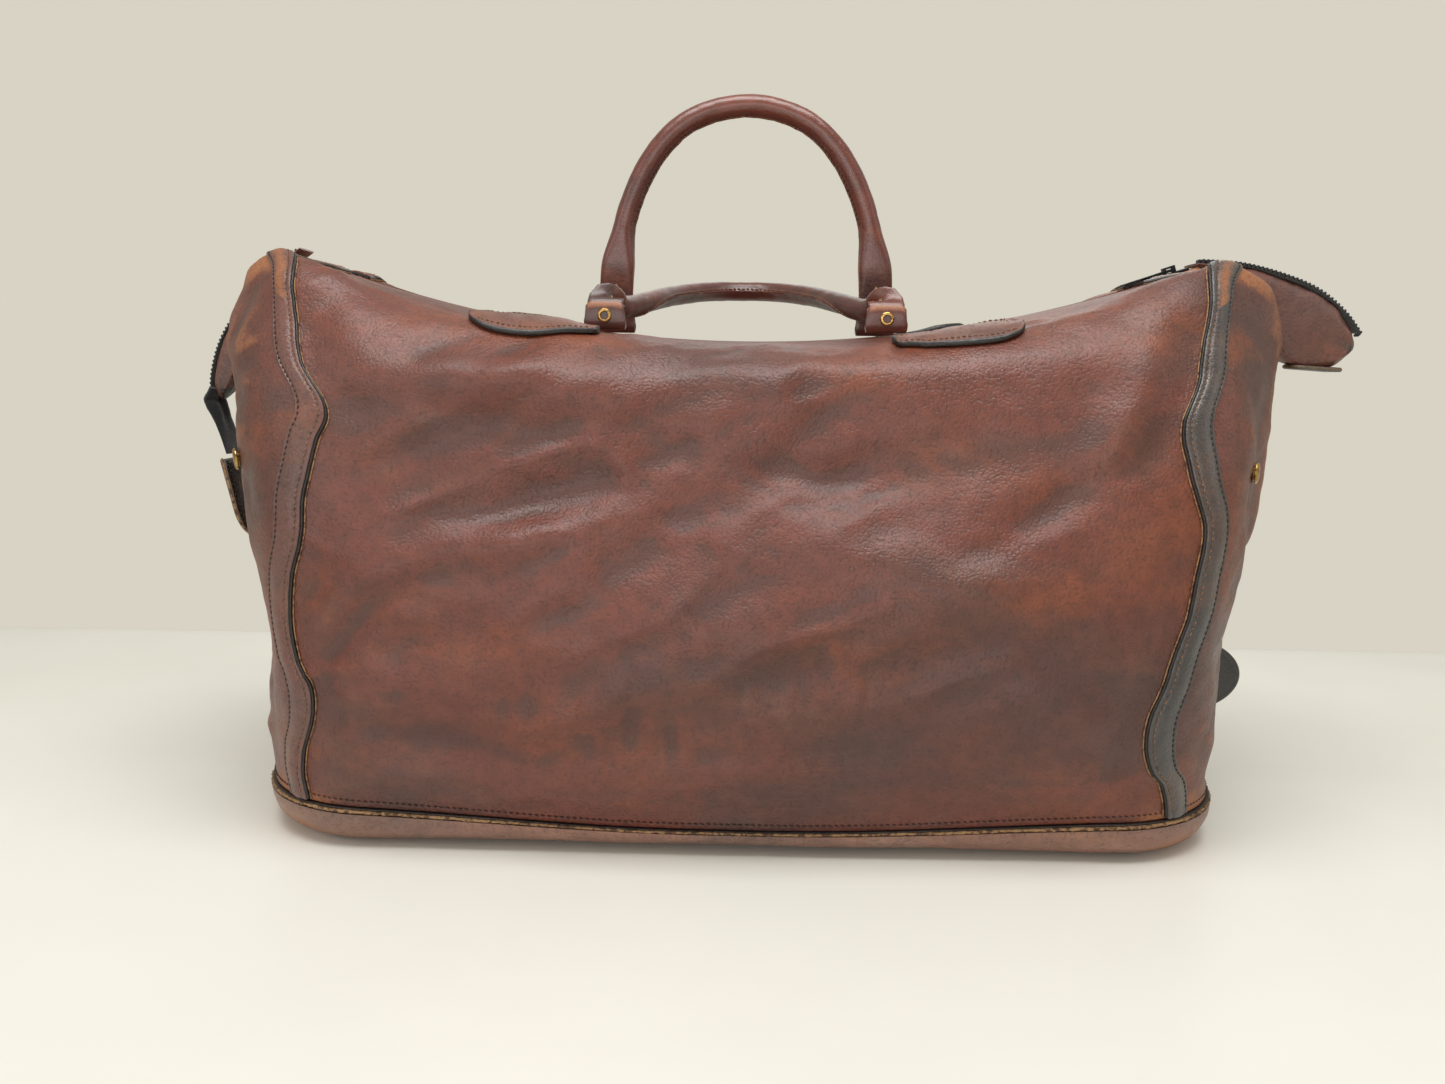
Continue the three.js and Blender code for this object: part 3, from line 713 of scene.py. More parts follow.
@dataclass(frozen=True)
class Leather:
    """Full-grain leather, dyed, pebbled and worn."""

    name: str
    main: tuple[int, int, int]
    deep: tuple[int, int, int]
    warm: tuple[int, int, int]
    pale: tuple[int, int, int]
    worn: tuple[int, int, int] = (150, 92, 56)
    cells: float = 620.0
    patches: float = 7.0
    grain: float = 0.95
    low: float = 0.36
    high: float = 0.56
    coat: float = 0.14
    scratch: float = 0.5
    reach: float = 1.0

    def build(self) -> bpy.types.Material:
        """The material, which reads its piece's marks for wear, burnished edges and painted shade in the
        creases.
        """
        material, w, shader, place = new_material(self.name)
        colours = {
            "Main": tone(*self.main), "Deep": tone(*self.deep), "Warm": tone(*self.warm),
            "Pale": tone(*self.pale)
        }
        patches = SHELF.place(w, Effect.MOTTLE, {"Vector": place, "Patches": self.patches, **colours})
        painted_crease_shade = w.add("ShaderNodeAttribute", attribute_name="painted_crease_shade").outputs["Fac"]
        wear = w.add("ShaderNodeAttribute", attribute_name="wear").outputs["Fac"]
        edge = w.add("ShaderNodeAttribute", attribute_name="edge").outputs["Fac"]
        grain = SHELF.place(w, Effect.GRAIN, {"Vector": place, "Cells": self.cells})
        scratch = SHELF.place(w, Effect.SCRATCHES, {"Vector": place, "Amount": self.scratch})
        # Painted shade: the colour darkens towards the deep tone in the creases and hollows.
        folded = w.mix(w.spread(painted_crease_shade, 0.0, 0.9, 0.0, 0.75), patches.outputs[0], tone(*self.deep))
        rubbed = SHELF.place(
            w,
            Effect.WEAR,
            {"Vector": place, "Color": folded, "Worn": tone(*self.worn), "Mask": wear, "Reach": self.reach},
        )
        pitted = w.mix(
            w.math("MULTIPLY", grain.outputs["Pits"], 0.3), rubbed.outputs["Color"], tone(40, 20, 18)
        )
        lined = w.mix(w.math("MULTIPLY", scratch.outputs[0], 0.35), pitted, tone(*self.worn))
        burnished = w.mix(w.spread(edge, 0.15, 0.6), lined, tone(24, 18, 17))
        w.link(burnished, shader.inputs["Base Color"])
        smudge = SHELF.place(w, Effect.SMUDGE, {"Vector": place, "Low": self.low, "High": self.high})
        dull = w.math("ADD", smudge.outputs[0], w.math("MULTIPLY", rubbed.outputs["Mask"], 0.12), True)
        w.link(dull, shader.inputs["Roughness"])
        shader.inputs["Coat Weight"].default_value = self.coat
        shader.inputs["Coat Roughness"].default_value = 0.3
        shader.inputs["Specular IOR Level"].default_value = 0.55
        fine = w.noise(w.stretched(place, (1.0, 1.0, 2.4), (0.3, 0.5, 0.2)), 190.0, 4.0, 0.6)
        scored = w.math("SUBTRACT", 0.0, scratch.outputs[0])
        relief(
            w, shader,
            [(fine, 0.35, 0.5), (grain.outputs["Height"], self.grain, 0.42), (scored, 0.25, 0.15)]
        )
        return material


@dataclass(frozen=True)
class RawEdge:
    """Cut leather, rope, board or thread: fibres in two colours."""

    name: str
    light: tuple[int, int, int]
    dark: tuple[int, int, int]
    rough: float = 0.85
    bump: float = 0.7

    def build(self) -> bpy.types.Material:
        """The material."""
        material, w, shader, place = new_material(self.name)
        fibres = SHELF.place(w, Effect.FIBRES, {"Vector": place})
        colour = w.mix(fibres.outputs["Dark"], tone(*self.light), tone(*self.dark))
        w.link(colour, shader.inputs["Base Color"])
        smudge = SHELF.place(
            w, Effect.SMUDGE, {"Vector": place, "Low": self.rough - 0.1, "High": self.rough + 0.08}
        )
        w.link(smudge.outputs[0], shader.inputs["Roughness"])
        relief(w, shader, [(fibres.outputs["Height"], self.bump, 0.35)])
        return material


@dataclass(frozen=True)
class Cloth:
    """Woven tape, webbing or lining."""

    name: str
    colour: tuple[int, int, int]
    dusty: tuple[int, int, int]
    threads: float = 900.0
    sheen: float = 0.25

    def build(self) -> bpy.types.Material:
        """The material."""
        material, w, shader, place = new_material(self.name)
        weave = SHELF.place(w, Effect.WEAVE, {"Vector": place, "Threads": self.threads})
        lint = w.spread(w.noise(place, 260.0, 4.0, 0.7), 0.58, 0.74)
        base = w.mix(lint, tone(*self.colour), tone(*self.dusty))
        shaded = w.add(
            "ShaderNodeVectorMath", {0: base, "Scale": weave.outputs["Shade"]}, operation="SCALE"
        ).outputs[0]
        w.link(shaded, shader.inputs["Base Color"])
        smudge = SHELF.place(w, Effect.SMUDGE, {"Vector": place, "Low": 0.72, "High": 0.92})
        w.link(smudge.outputs[0], shader.inputs["Roughness"])
        shader.inputs["Sheen Weight"].default_value = self.sheen
        relief(w, shader, [(weave.outputs["Height"], 0.6, 0.2)])
        return material


@dataclass(frozen=True)
class Metal:
    """Plated fittings, tarnished where they are touched least."""

    name: str
    bright: tuple[int, int, int]
    tarnish: tuple[int, int, int]
    low: float = 0.2
    high: float = 0.42
    metallic: float = 1.0

    def build(self) -> bpy.types.Material:
        """The material."""
        material, w, shader, place = new_material(self.name)
        spots = w.spread(w.noise(place, 300.0, 5.0, 0.65), 0.44, 0.66)
        scratch = SHELF.place(
            w, Effect.SCRATCHES, {"Vector": w.stretched(place, (9.0, 9.0, 9.0)), "Amount": 0.8}
        )
        base = w.mix(spots, tone(*self.bright), tone(*self.tarnish))
        lined = w.mix(w.math("MULTIPLY", scratch.outputs[0], 0.4), base, tone(*self.bright))
        w.link(lined, shader.inputs["Base Color"])
        shader.inputs["Metallic"].default_value = self.metallic
        smudge = SHELF.place(
            w, Effect.SMUDGE,
            {"Vector": w.stretched(place, (6.0, 6.0, 6.0)), "Low": self.low, "High": self.high}
        )
        w.link(smudge.outputs[0], shader.inputs["Roughness"])
        relief(w, shader, [(w.noise(place, 900.0, 3.0), 0.18, 0.1), (scratch.outputs[0], -0.2, 0.05)])
        return material


RED = dict(main=(104, 51, 37), deep=(78, 48, 40), warm=(120, 61, 36), pale=(114, 74, 60))


class Finish(Enum):
    """Every finish on the bag."""

    RED = Leather("oxblood body leather", **RED)
    STRIP = Leather(
        "oxblood strip leather", (104, 62, 52), (80, 58, 52), (116, 66, 46), (110, 82, 72), coat=0.3
    )
    DARK = Leather(
        "darkened strip leather", (66, 60, 58), (50, 46, 46), (82, 62, 54), (78, 74, 76),
        low=0.26, high=0.42, coat=0.5,
    )
    BASE = Leather(
        "worn base leather", (138, 98, 82), (112, 84, 73), (146, 98, 70), (150, 122, 108), coat=0.3
    )
    HANDLE = Leather(
        "handled oxblood leather", (98, 46, 36), (70, 38, 32), (116, 56, 38), (104, 64, 52),
        cells=1300.0, grain=0.28, low=0.26, high=0.4, coat=0.5, patches=16.0,
    )
    BLACK_LEATHER = Leather(
        "black tab leather", (26, 22, 22), (18, 16, 17), (34, 26, 24), (40, 36, 36), worn=(96, 78, 58),
        low=0.22, high=0.4, coat=0.5, patches=20.0,
    )
    RAW = RawEdge("raw tan edge", (152, 118, 82), (84, 60, 44))
    BURNISHED = RawEdge("burnished edge", (38, 28, 25), (22, 17, 16), 0.45, 0.3)
    DARK_THREAD = RawEdge("dark thread", (52, 30, 25), (32, 20, 18), 0.6, 0.4)
    TAN_THREAD = RawEdge("tan thread", (128, 92, 66), (84, 58, 44), 0.65, 0.4)
    BOARD = RawEdge("base board", (132, 110, 80), (96, 76, 54))
    ROPE = RawEdge("rope core", (170, 152, 116), (112, 94, 66))
    LINING = Cloth("dark lining", (34, 32, 36), (60, 56, 58), 500.0)
    TAPE = Cloth("black zip tape", (18, 18, 20), (46, 44, 44), 700.0)
    TEETH = Metal("moulded black teeth", (34, 34, 36), (20, 20, 22), 0.3, 0.5, 0.0)
    BLACK_METAL = Metal("blackened metal", (58, 58, 60), (30, 29, 30), 0.25, 0.45)
    BRASS = Metal("old brass", (196, 158, 96), (120, 88, 48))


class Wardrobe:
    """Builds each finish the first time it is asked for."""

    def __init__(self) -> None:
        """Starts with nothing built."""
        self.made: dict[Finish, bpy.types.Material] = {}

    def get(self, finish: Finish) -> bpy.types.Material:
        """The finish's material."""
        if finish not in self.made:
            self.made[finish] = finish.value.build()
        return self.made[finish]


WARDROBE = Wardrobe()


# ---- The body's surface ----
@dataclass(frozen=True)
class Fold:
    """One soft ridge or hollow on the front: its middle, half sizes, tilt in degrees and rise."""

    x: float
    z: float
    length: float
    width: float
    tilt: float
    rise: float


FRONT_FOLDS = (
    Fold(-110, 245, 85, 13, -8, 5.0),
    Fold(-165, 232, 60, 11, 24, 3.5),
    Fold(-120, 172, 62, 12, 9, 5.0),
    Fold(-185, 150, 34, 12, 30, 4.0),
    Fold(-75, 86, 46, 12, 24, 4.0),
    Fold(-150, 62, 60, 14, -12, -3.0),
    Fold(-20, 196, 50, 10, 14, 3.0),
    Fold(60, 205, 80, 18, 8, -5.0),
    Fold(120, 150, 62, 17, -12, 4.0),
    Fold(70, 112, 70, 13, 10, -3.0),
    Fold(195, 235, 34, 13, 62, 5.0),
    Fold(165, 196, 40, 10, 30, -3.5),
    Fold(-205, 118, 38, 10, 52, -4.0),
    Fold(40, 128, 110, 22, 2, 3.0),
    Fold(10, 255, 120, 12, 3, 4.0),
    Fold(160, 92, 50, 12, -24, 3.5),
    Fold(200, 60, 30, 12, 70, -3.0),
    Fold(-40, 48, 110, 12, 2, 3.0),
)

LEFT_SEAM: Pairs = (
    (25, 2), (52, 7.5), (73, 1), (94, 3.5), (106, 9), (132, 8), (173, -9), (200, -15),
    (227, -23), (238, -26), (248, -22), (262, -8), (285, 5), (312, 13), (322, 10),
)
RIGHT_SEAM: Pairs = (
    (25, -2), (45, -4), (55, -11), (67, -14), (85, -12), (105, -6), (134, -1), (175, -3),
    (190, -5), (215, -15), (240, -17), (262, -3), (297, 12), (322, 10),
)
LEFT_BULGE: Pairs = (
    (25, 0), (37, 0), (55, 3), (74, -3), (92, 4), (107, 8), (143, 8), (185, -5), (204, -15), (224, -7),
    (250, 9), (276, 15), (308, 17), (322, 8),
)
RIGHT_BULGE: Pairs = (
    (25, 0), (39, 1), (57, 2), (71, -4), (86, 3), (102, 9), (130, 11), (150, 10), (166, 16), (184, 17),
    (230, 17), (267, 23), (295, 26), (312, 18), (322, 8),
)


@dataclass(frozen=True)
class BodySkin:
    """The bag's outer surface, by a place round it and a level from the seam up to the zip.

    Round goes from 0 at the middle of the front by 1 at the right end, 2 at the back and 3 at
    the left end. Up goes from 0 at the base seam, over the ridge, to 1 at the zip.
    """

    seam_height: float = 25.0
    zip_radius: float = 784.0
    zip_centre: float = 1059.0
    corner_radius: float = 70.0
    straight: float = 0.55
    corner: float = 0.3
    strip_seam: float = 0.653
    strip_half: float = 0.022
    mm_per_round: float = 340.0
    fold_depth: float = 1.45
    depth: Pairs = (
        (0, 118), (0.12, 125), (0.28, 129), (0.46, 125), (0.62, 113), (0.76, 98), (0.86, 76), (0.94, 42),
        (1, 9.5)
    )
    share: Pairs = (
        (0, 0), (0.12, 0.13), (0.28, 0.32), (0.46, 0.54), (0.62, 0.73), (0.76, 0.88), (0.86, 0.965),
        (0.94, 0.99), (1, 1)
    )
    length: Pairs = (
        (0, 271), (0.12, 268), (0.28, 268), (0.46, 279), (0.62, 282), (0.76, 276), (0.86, 270), (0.94, 267),
        (1, 265)
    )

    def zip_height(self, x: Grid | float) -> Grid:
        """The height of the zip's sagging arc."""
        return self.zip_centre - np.sqrt(self.zip_radius**2 - np.square(x))

    def seam_sag(self, x: Grid, y: Grid) -> Grid:
        """How far the base seam hangs down along the middle of a long side."""
        return 9.5 * (1 - smooth((np.abs(x) - 20) / 225)) * smooth((np.abs(y) - 60) / 40)

    def split(self, round_: Grid) -> tuple[Grid, Grid, Grid]:
        """A place round the body as a line from the middle to the end, and its two signs.

        Args:
            round_: places round the body.

        Returns:
            The line from 0 to 1, 1 or -1 for right or left, 1 or -1 for front or back.
        """
        turns = np.floor(round_)
        quadrant = turns.astype(int) % 4
        part = round_ - turns
        line = np.where(quadrant % 2 == 1, 1 - part, part)
        return line, np.where(quadrant < 2, 1.0, -1.0), np.where((quadrant == 1) | (quadrant == 2), -1.0, 1.0)

    def level_height(self, up: Grid) -> Grid:
        """About how high a level lies near the ends of the bag."""
        return self.seam_height + 290 * through(up, self.share)

    def bare(self, round_: Grid, up: Grid) -> Grid:
        """The surface with its seams led along their slumped lines, but no folds yet.

        Args:
            round_: places round the body.
            up: levels, from 0 to 1.

        Returns:
            The points.
        """
        line, right, front = self.split(round_)
        height = self.level_height(up)
        lead = np.where(right > 0, through(height, RIGHT_SEAM), through(height, LEFT_SEAM))
        lead = lead * np.where(front > 0, 1.0, 0.6) / self.mm_per_round
        near = smooth(line / 0.6) * smooth((1 - line) / 0.3)
        line = line + lead * near
        length, depth = through(up, self.length), through(up, self.depth)
        corner_depth = np.minimum(self.corner_radius, depth - 8)
        turn = np.clip((line - self.straight) / self.corner, 0, 1) * np.pi / 2
        x = np.where(
            line <= self.straight,
            (length - self.corner_radius) * line / self.straight,
            length - self.corner_radius * (1 - np.sin(turn)),
        )
        past = np.clip((1 - line) / (1 - self.straight - self.corner), 0, 1)
        y = np.where(
            line < self.straight + self.corner,
            -depth + corner_depth * (1 - np.cos(turn)),
            -(depth - corner_depth) * past,
        )
        lump = 12 * np.exp(-(((x - 255) / 38) ** 2) - ((y + 68) / 32) ** 2) * np.clip((up - 0.6) / 0.2, 0, 1)
        z = self.seam_height + (self.zip_height(x) - self.seam_height) * through(up, self.share) + lump
        z = z - self.seam_sag(x, y) * (1 - smooth(up / 0.3))
        return np.stack([right * x, front * y, z], axis=-1)

    def facing(self, surface: Callable[[Grid, Grid], Grid], round_: Grid, up: Grid) -> Grid:
        """The outward direction of one of this body's surfaces.

        Args:
            surface: the method that gives its points.
            round_: places round the body.
            up: levels, from 0 to 1.

        Returns:
            The unit directions.
        """
        d = 0.004
        around = surface(round_ + d, up) - surface(round_ - d, up)
        upward = surface(round_, np.minimum(up + d, 1)) - surface(round_, np.maximum(up - d, 0))
        out = np.cross(around, upward)
        return out / (np.linalg.norm(out, axis=-1, keepdims=True) + 1e-9)

    def folds(self, point: Grid, round_: Grid, up: Grid) -> Grid:
        """How far the slumped leather stands proud of the bare surface.

        Args:
            point: the bare points.
            round_: places round the body.
            up: levels, from 0 to 1.

        Returns:
            The rise at each point.
        """
        line, _, front = self.split(round_)
        x, y, z = point[..., 0], point[..., 1], point[..., 2]
        flat = 1 - smooth((line - 0.55) / 0.14)
        lateral = np.where(front > 0, x, -x * 0.93 + 14)
        rise = np.zeros(x.shape)
        for fold in FRONT_FOLDS:
            c, s = math.cos(math.radians(fold.tilt)), math.sin(math.radians(fold.tilt))
            a = ((lateral - fold.x) * c + (z - fold.z) * s) / fold.length
            b = ((z - fold.z) * c - (lateral - fold.x) * s) / fold.width
            rise += self.fold_depth * fold.rise * np.exp(-(a**2) - b**2)
        wide = np.exp(-((lateral / 165) ** 2))
        rise += wide * (6 * bump(z, 100, 45) - 7 * bump(z, 198, 34))
        run = lateral + 0.4 * z
        rise += 3.0 * Unevenness(7).layered(run / 105, z / 62 + 3, 2)
        creased = Unevenness(23).layered((lateral * 0.9 + 0.5 * z) / 88 + 2, (z - 0.42 * lateral) / 34, 2)
        rise += 2.7 * (1 - 2.0 * np.abs(creased)) * smooth(
            Unevenness(31).at(lateral / 120 + 7, z / 85) + 0.55
        )
        crossed = Unevenness(43).layered((lateral * 0.8 - 0.5 * z) / 74, (z + 0.36 * lateral) / 25 + 4, 2)
        rise += 1.0 * (1 - 2.0 * np.abs(crossed)) * smooth(Unevenness(53).at(lateral / 90, z / 70 + 3) + 0.4)
        rise += 0.5 * Unevenness(37).layered(run / 26, z / 17, 2)
        upright = 1 - np.abs(Unevenness(41).layered(lateral / 11, z / 48, 2)) * 2
        rise += 0.9 * upright * np.exp(-(((lateral + 40) / 120) ** 2) - ((z - 70) / 48) ** 2)
        rise = rise * flat
        end = smooth((line - 0.66) / 0.12)
        seed = np.where(x > 0, 3.0, 11.0)
        valley = -11 * np.exp(
            -((y / 26) ** 2) - ((z - 238) / 30) ** 2
        ) - 6 * np.exp(-((y / 30) ** 2) - ((z - 118) / 26) ** 2)
        rise += end * (valley + 3.0 * Unevenness(57).layered(y / 34 + seed, z / 38, 3))
        rise += 0.14 * Unevenness(71).layered(x / 9 + y / 9, z / 8, 2)
        pinch = -3.5 * bump(line, 0.6, 0.05) * (
            0.6 + 0.8 * Unevenness(83).at(z / 45, front * 2 + x * 0)
        )
        rise += pinch
        top = 1.5 * Unevenness(97).layered(x / 30, y / 16, 3) * smooth((up - 0.8) / 0.08)
        return (rise + top) * smooth(up / 0.07) * (1 - smooth((up - 0.9) / 0.085))

    def at(self, round_: Grid, up: Grid) -> Grid:
        """The slumped surface's points."""
        point = self.bare(round_, up)
        lifted = point + self.facing(self.bare, round_, up) * self.folds(point, round_, up)[..., None]
        line, right, _ = self.split(round_)
        height = self.level_height(up)
        out = np.where(right > 0, through(height, RIGHT_BULGE), through(height, LEFT_BULGE))
        lobe = np.exp(-(((np.abs(point[..., 1]) - 42) / 21) ** 2)) * smooth((line - 0.5) / 0.15)
        lobe = lobe * smooth(up / 0.05) * (1 - smooth((up - 0.9) / 0.085))
        lifted[..., 0] += right * out * lobe
        return lifted

    def off(self, round_: Grid, up: Grid, offset: Grid | float) -> Grid:
        """The slumped surface, moved outward.

        Args:
            round_: places round the body.
            up: levels, from 0 to 1.
            offset: how far outward, one value or one for each point.

        Returns:
            The points.
        """
        round_, up, offset = np.broadcast_arrays(round_, up, offset)
        return self.at(round_, up) + self.facing(self.at, round_, up) * offset[..., None]


SKIN = BodySkin()


def body_marks(obj: bpy.types.Object, outer: Grid) -> None:
    """Marks painted shade in the body leather's creases, and where it has worn.

    Args:
        obj: a shell over the body.
        outer: its outside points, as levels by places by 3.
    """
    step = 3
    padded = np.pad(outer, ((step, step), (step, step), (0, 0)), "edge")
    size = outer.shape
    middle = padded[step : step + size[0], step : step + size[1]]
    around = sum(
        padded[
            step + a : step + a + size[0], step + b : step + b + size[1]
        ] for a, b in ((step, 0), (-step, 0), (0, step), (0, -step))
    )
    gap = middle - around / 4
    away = outer - np.array([0.0, 0.0, 150.0])
    dip = -np.einsum("ijk,ijk->ij", gap, away / np.linalg.norm(away, axis=-1, keepdims=True))
    # Painted shade mask: how far each point lies in a hollow of the surface.
    mark(obj, "painted_crease_shade", np.clip(dip / 0.55, 0, 1))
    x, y, z = np.abs(outer[..., 0]), np.abs(outer[..., 1]), outer[..., 2]
    tips = smooth((z - 300) / 16) * smooth((x - 238) / 24) * 0.8
    ridge = np.clip(-dip / 0.9, 0, 1) * 0.5 * smooth((x - 170) / 60)
    hem = smooth((44 - z) / 16) * smooth((x - 190) / 60) * smooth((y - 60) / 50) * 0.5
    mark(obj, "wear", np.clip(tips + ridge + hem, 0, 1))


@dataclass
class Shell:
    """The panels, the gussets and the lining."""

    thickness: float = 1.6
    seam_gap: float = 0.0012
    cell: float = 2.7
    levels: int = 168
    lining_depth: float = 4.8

    def sheet(self, name: str, start: float, end: float) -> bpy.types.Object:
        """One piece of body leather.

        Args:
            name: the frame's node that it replaces.
            start: where it begins, round the body.
            end: where it ends.

        Returns:
            The piece.
        """
        count = int((end - start) * SKIN.mm_per_round / self.cell)
        around, up = np.meshgrid(np.linspace(start, end, count), np.linspace(0, 1, self.levels))
        outer = SKIN.at(around, up)
        inner = outer - SKIN.facing(SKIN.at, around, up) * self.thickness
        obj = shell(f"{name}_leather", outer, inner)
        body_marks(obj, outer)
        return finish_piece(obj, Finish.RED, "red_leather", nodes=[name])

    def lining(self) -> bpy.types.Object:
        """The cloth bag inside the leather, open along the zip."""
        around, up = np.meshgrid(np.linspace(0, 4, 400, endpoint=False), np.linspace(0.06, 0.9, 60))
        outer = SKIN.off(around, up, -self.lining_depth)
        inner = SKIN.off(around, up, -self.lining_depth - 0.8)
        obj = shell("bag_lining", outer, inner, ring=True)
        return finish_piece(obj, Finish.LINING, "lining_cloth", nodes=["lining"])

    def build(self) -> None:
        """Builds every piece of the shell."""
        edge = SKIN.strip_seam - self.seam_gap
        far = SKIN.strip_seam + self.seam_gap
        self.sheet("front_panel", -edge, edge)
        self.sheet("back_panel", 2 - edge, 2 + edge)
        self.sheet("right_gusset", far, 2 - far)
        self.sheet("left_gusset", 2 + far, 4 - far)
        self.lining()


@dataclass
class OverlayStrip:
    """A strip of leather over one upright seam, with a raised raw edge towards the panel."""

    name: str
    middle: float
    side: float
    finish: Finish
    slot: str
    rows: int = 210

    def place(self, across: Grid, up: Grid, height: Grid | float) -> Grid:
        """Points on the strip.

        Args:
            across: from 0 at the raw edge to 1 at the flush edge.
            up: levels, from 0 to 1.
            height: how far off the body.

        Returns:
            The points.
        """
        wave = 0.0016 * np.sin(up * 23 + self.middle) + 0.001 * np.sin(up * 57 + self.side)
        line = SKIN.strip_seam + SKIN.strip_half * (2 * across - 1) + wave
        return SKIN.off(self.middle + self.side * line, up, height)

    def top(self, across: Grid) -> Grid:
        """The strip's thickness across its width, with a groove under each stitch line."""
        body = 2.4 - 0.9 * smooth((across - 0.3) / 0.6)
        groove = 0.45 * np.exp(
            -(((across - 0.2) / 0.035) ** 2)
        ) + 0.5 * bump(across, 0.88, 0.04)
        swell = 0.5 * bump(across, 0.5, 0.22)
        return body + swell - groove

    def leather(self) -> bpy.types.Object:
        """The strip itself."""
        out = np.array(
            [
                0.0, 0.012, 0.04, 0.08, 0.12, 0.16, 0.2, 0.24, 0.3, 0.4, 0.5, 0.6, 0.7, 0.8, 0.84, 0.88,
                0.92, 0.96, 0.985, 1.0
            ]
        )
        heights = self.top(out)
        heights[0], heights[1], heights[2] = 1.2, 1.9, 2.3
        heights[-2], heights[-1] = 1.2, 0.6
        across = np.concatenate([out, out[::-1][1:-1:3], [0.0]])
        height = np.concatenate([heights, np.full(len(across) - len(out), 0.3)])
        up = np.linspace(0.002, 0.998, self.rows)
        grid_a, grid_u = np.meshgrid(across, up)
        grid_h = np.broadcast_to(height, grid_a.shape)
        obj = sweep(f"{self.name}_leather", self.place(grid_a, grid_u, grid_h), sharp=70)
        edge = np.where((grid_a <= 0.03) | (grid_h < 0.35), 1.0, 0.0)
        mark(obj, "edge", edge)
        mark(
            obj, "wear",
            0.55 * bump(grid_a, 0.5, 0.3) * (SKIN.level_height(grid_u) > 285) + 0.12
        )
        # Painted shade along the two stitch grooves.
        mark(
            obj, "painted_crease_shade",
            0.7 * bump(grid_a, 0.88, 0.05) + 0.5 * bump(grid_a, 0.2, 0.05)
        )
        return finish_piece(obj, self.finish, self.slot, nodes=[self.name])

    def bead(
        self, label: str, across: float, height: float, radius: float, finish: Finish
    ) -> bpy.types.Object:
        """A thin rounded bead along the strip.

        Args:
            label: what the piece is called after the strip's name.
            across: where it runs.
            height: how far off the body its middle is.
            radius: half its thickness.
            finish: its finish.

        Returns:
            The piece.
        """
        up = np.linspace(0.004, 0.996, 420)
        centre = self.place(np.full(up.shape, across), up, height)
        facing = SKIN.facing(SKIN.at, self.middle + self.side * np.full(up.shape, SKIN.strip_seam), up)
        ahead = np.gradient(centre, axis=0)
        ahead /= np.linalg.norm(ahead, axis=1, keepdims=True)
        aside = np.cross(ahead, facing)
        angle = np.linspace(0, 2 * np.pi, 8, endpoint=False)
        fuzz = 1 + 0.16 * Unevenness(int(across * 100) + 50).at(
            np.arange(420)[:, None] * 0.9, angle[None, :] * 2.0
        )
        loops = centre[:, None] + radius * fuzz[..., None] * (
            np.cos(angle)[None, :, None] * aside[:, None] + np.sin(angle)[None, :, None] * facing[:, None]
        )
        obj = sweep(f"{self.name}_{label}", loops, sharp=80)
        return finish_piece(obj, finish, "raw_edge")

    def seam(self, label: str, across: float, finish: Finish) -> bpy.types.Object:
        """A stitch line along the strip.

        Args:
            label: what the piece is called after the strip's name.
            across: where it runs.
            finish: the thread's finish.

        Returns:
            The piece.
        """
        up = np.linspace(0.012, 0.985, 700)
        line = self.place(np.full(up.shape, across), up, float(self.top(np.array(across))) + 0.05)
        facing = SKIN.facing(SKIN.at, self.middle + self.side * np.full(up.shape, SKIN.strip_seam), up)
        obj = stitches(f"{self.name}_{label}", line, facing)
        return finish_piece(obj, finish, "raw_edge")

    def build(self) -> None:
        """Builds the strip, its edges and its stitches."""
        self.leather()
        self.bead("burnished_edge", -0.02, 1.15, 0.7, Finish.BURNISHED)
        self.bead("raw_line", -0.1, 0.45, 0.38, Finish.RAW)
        self.seam("inner_stitches", 0.2, Finish.TAN_THREAD)
        self.seam("outer_stitches", 0.88, Finish.DARK_THREAD)


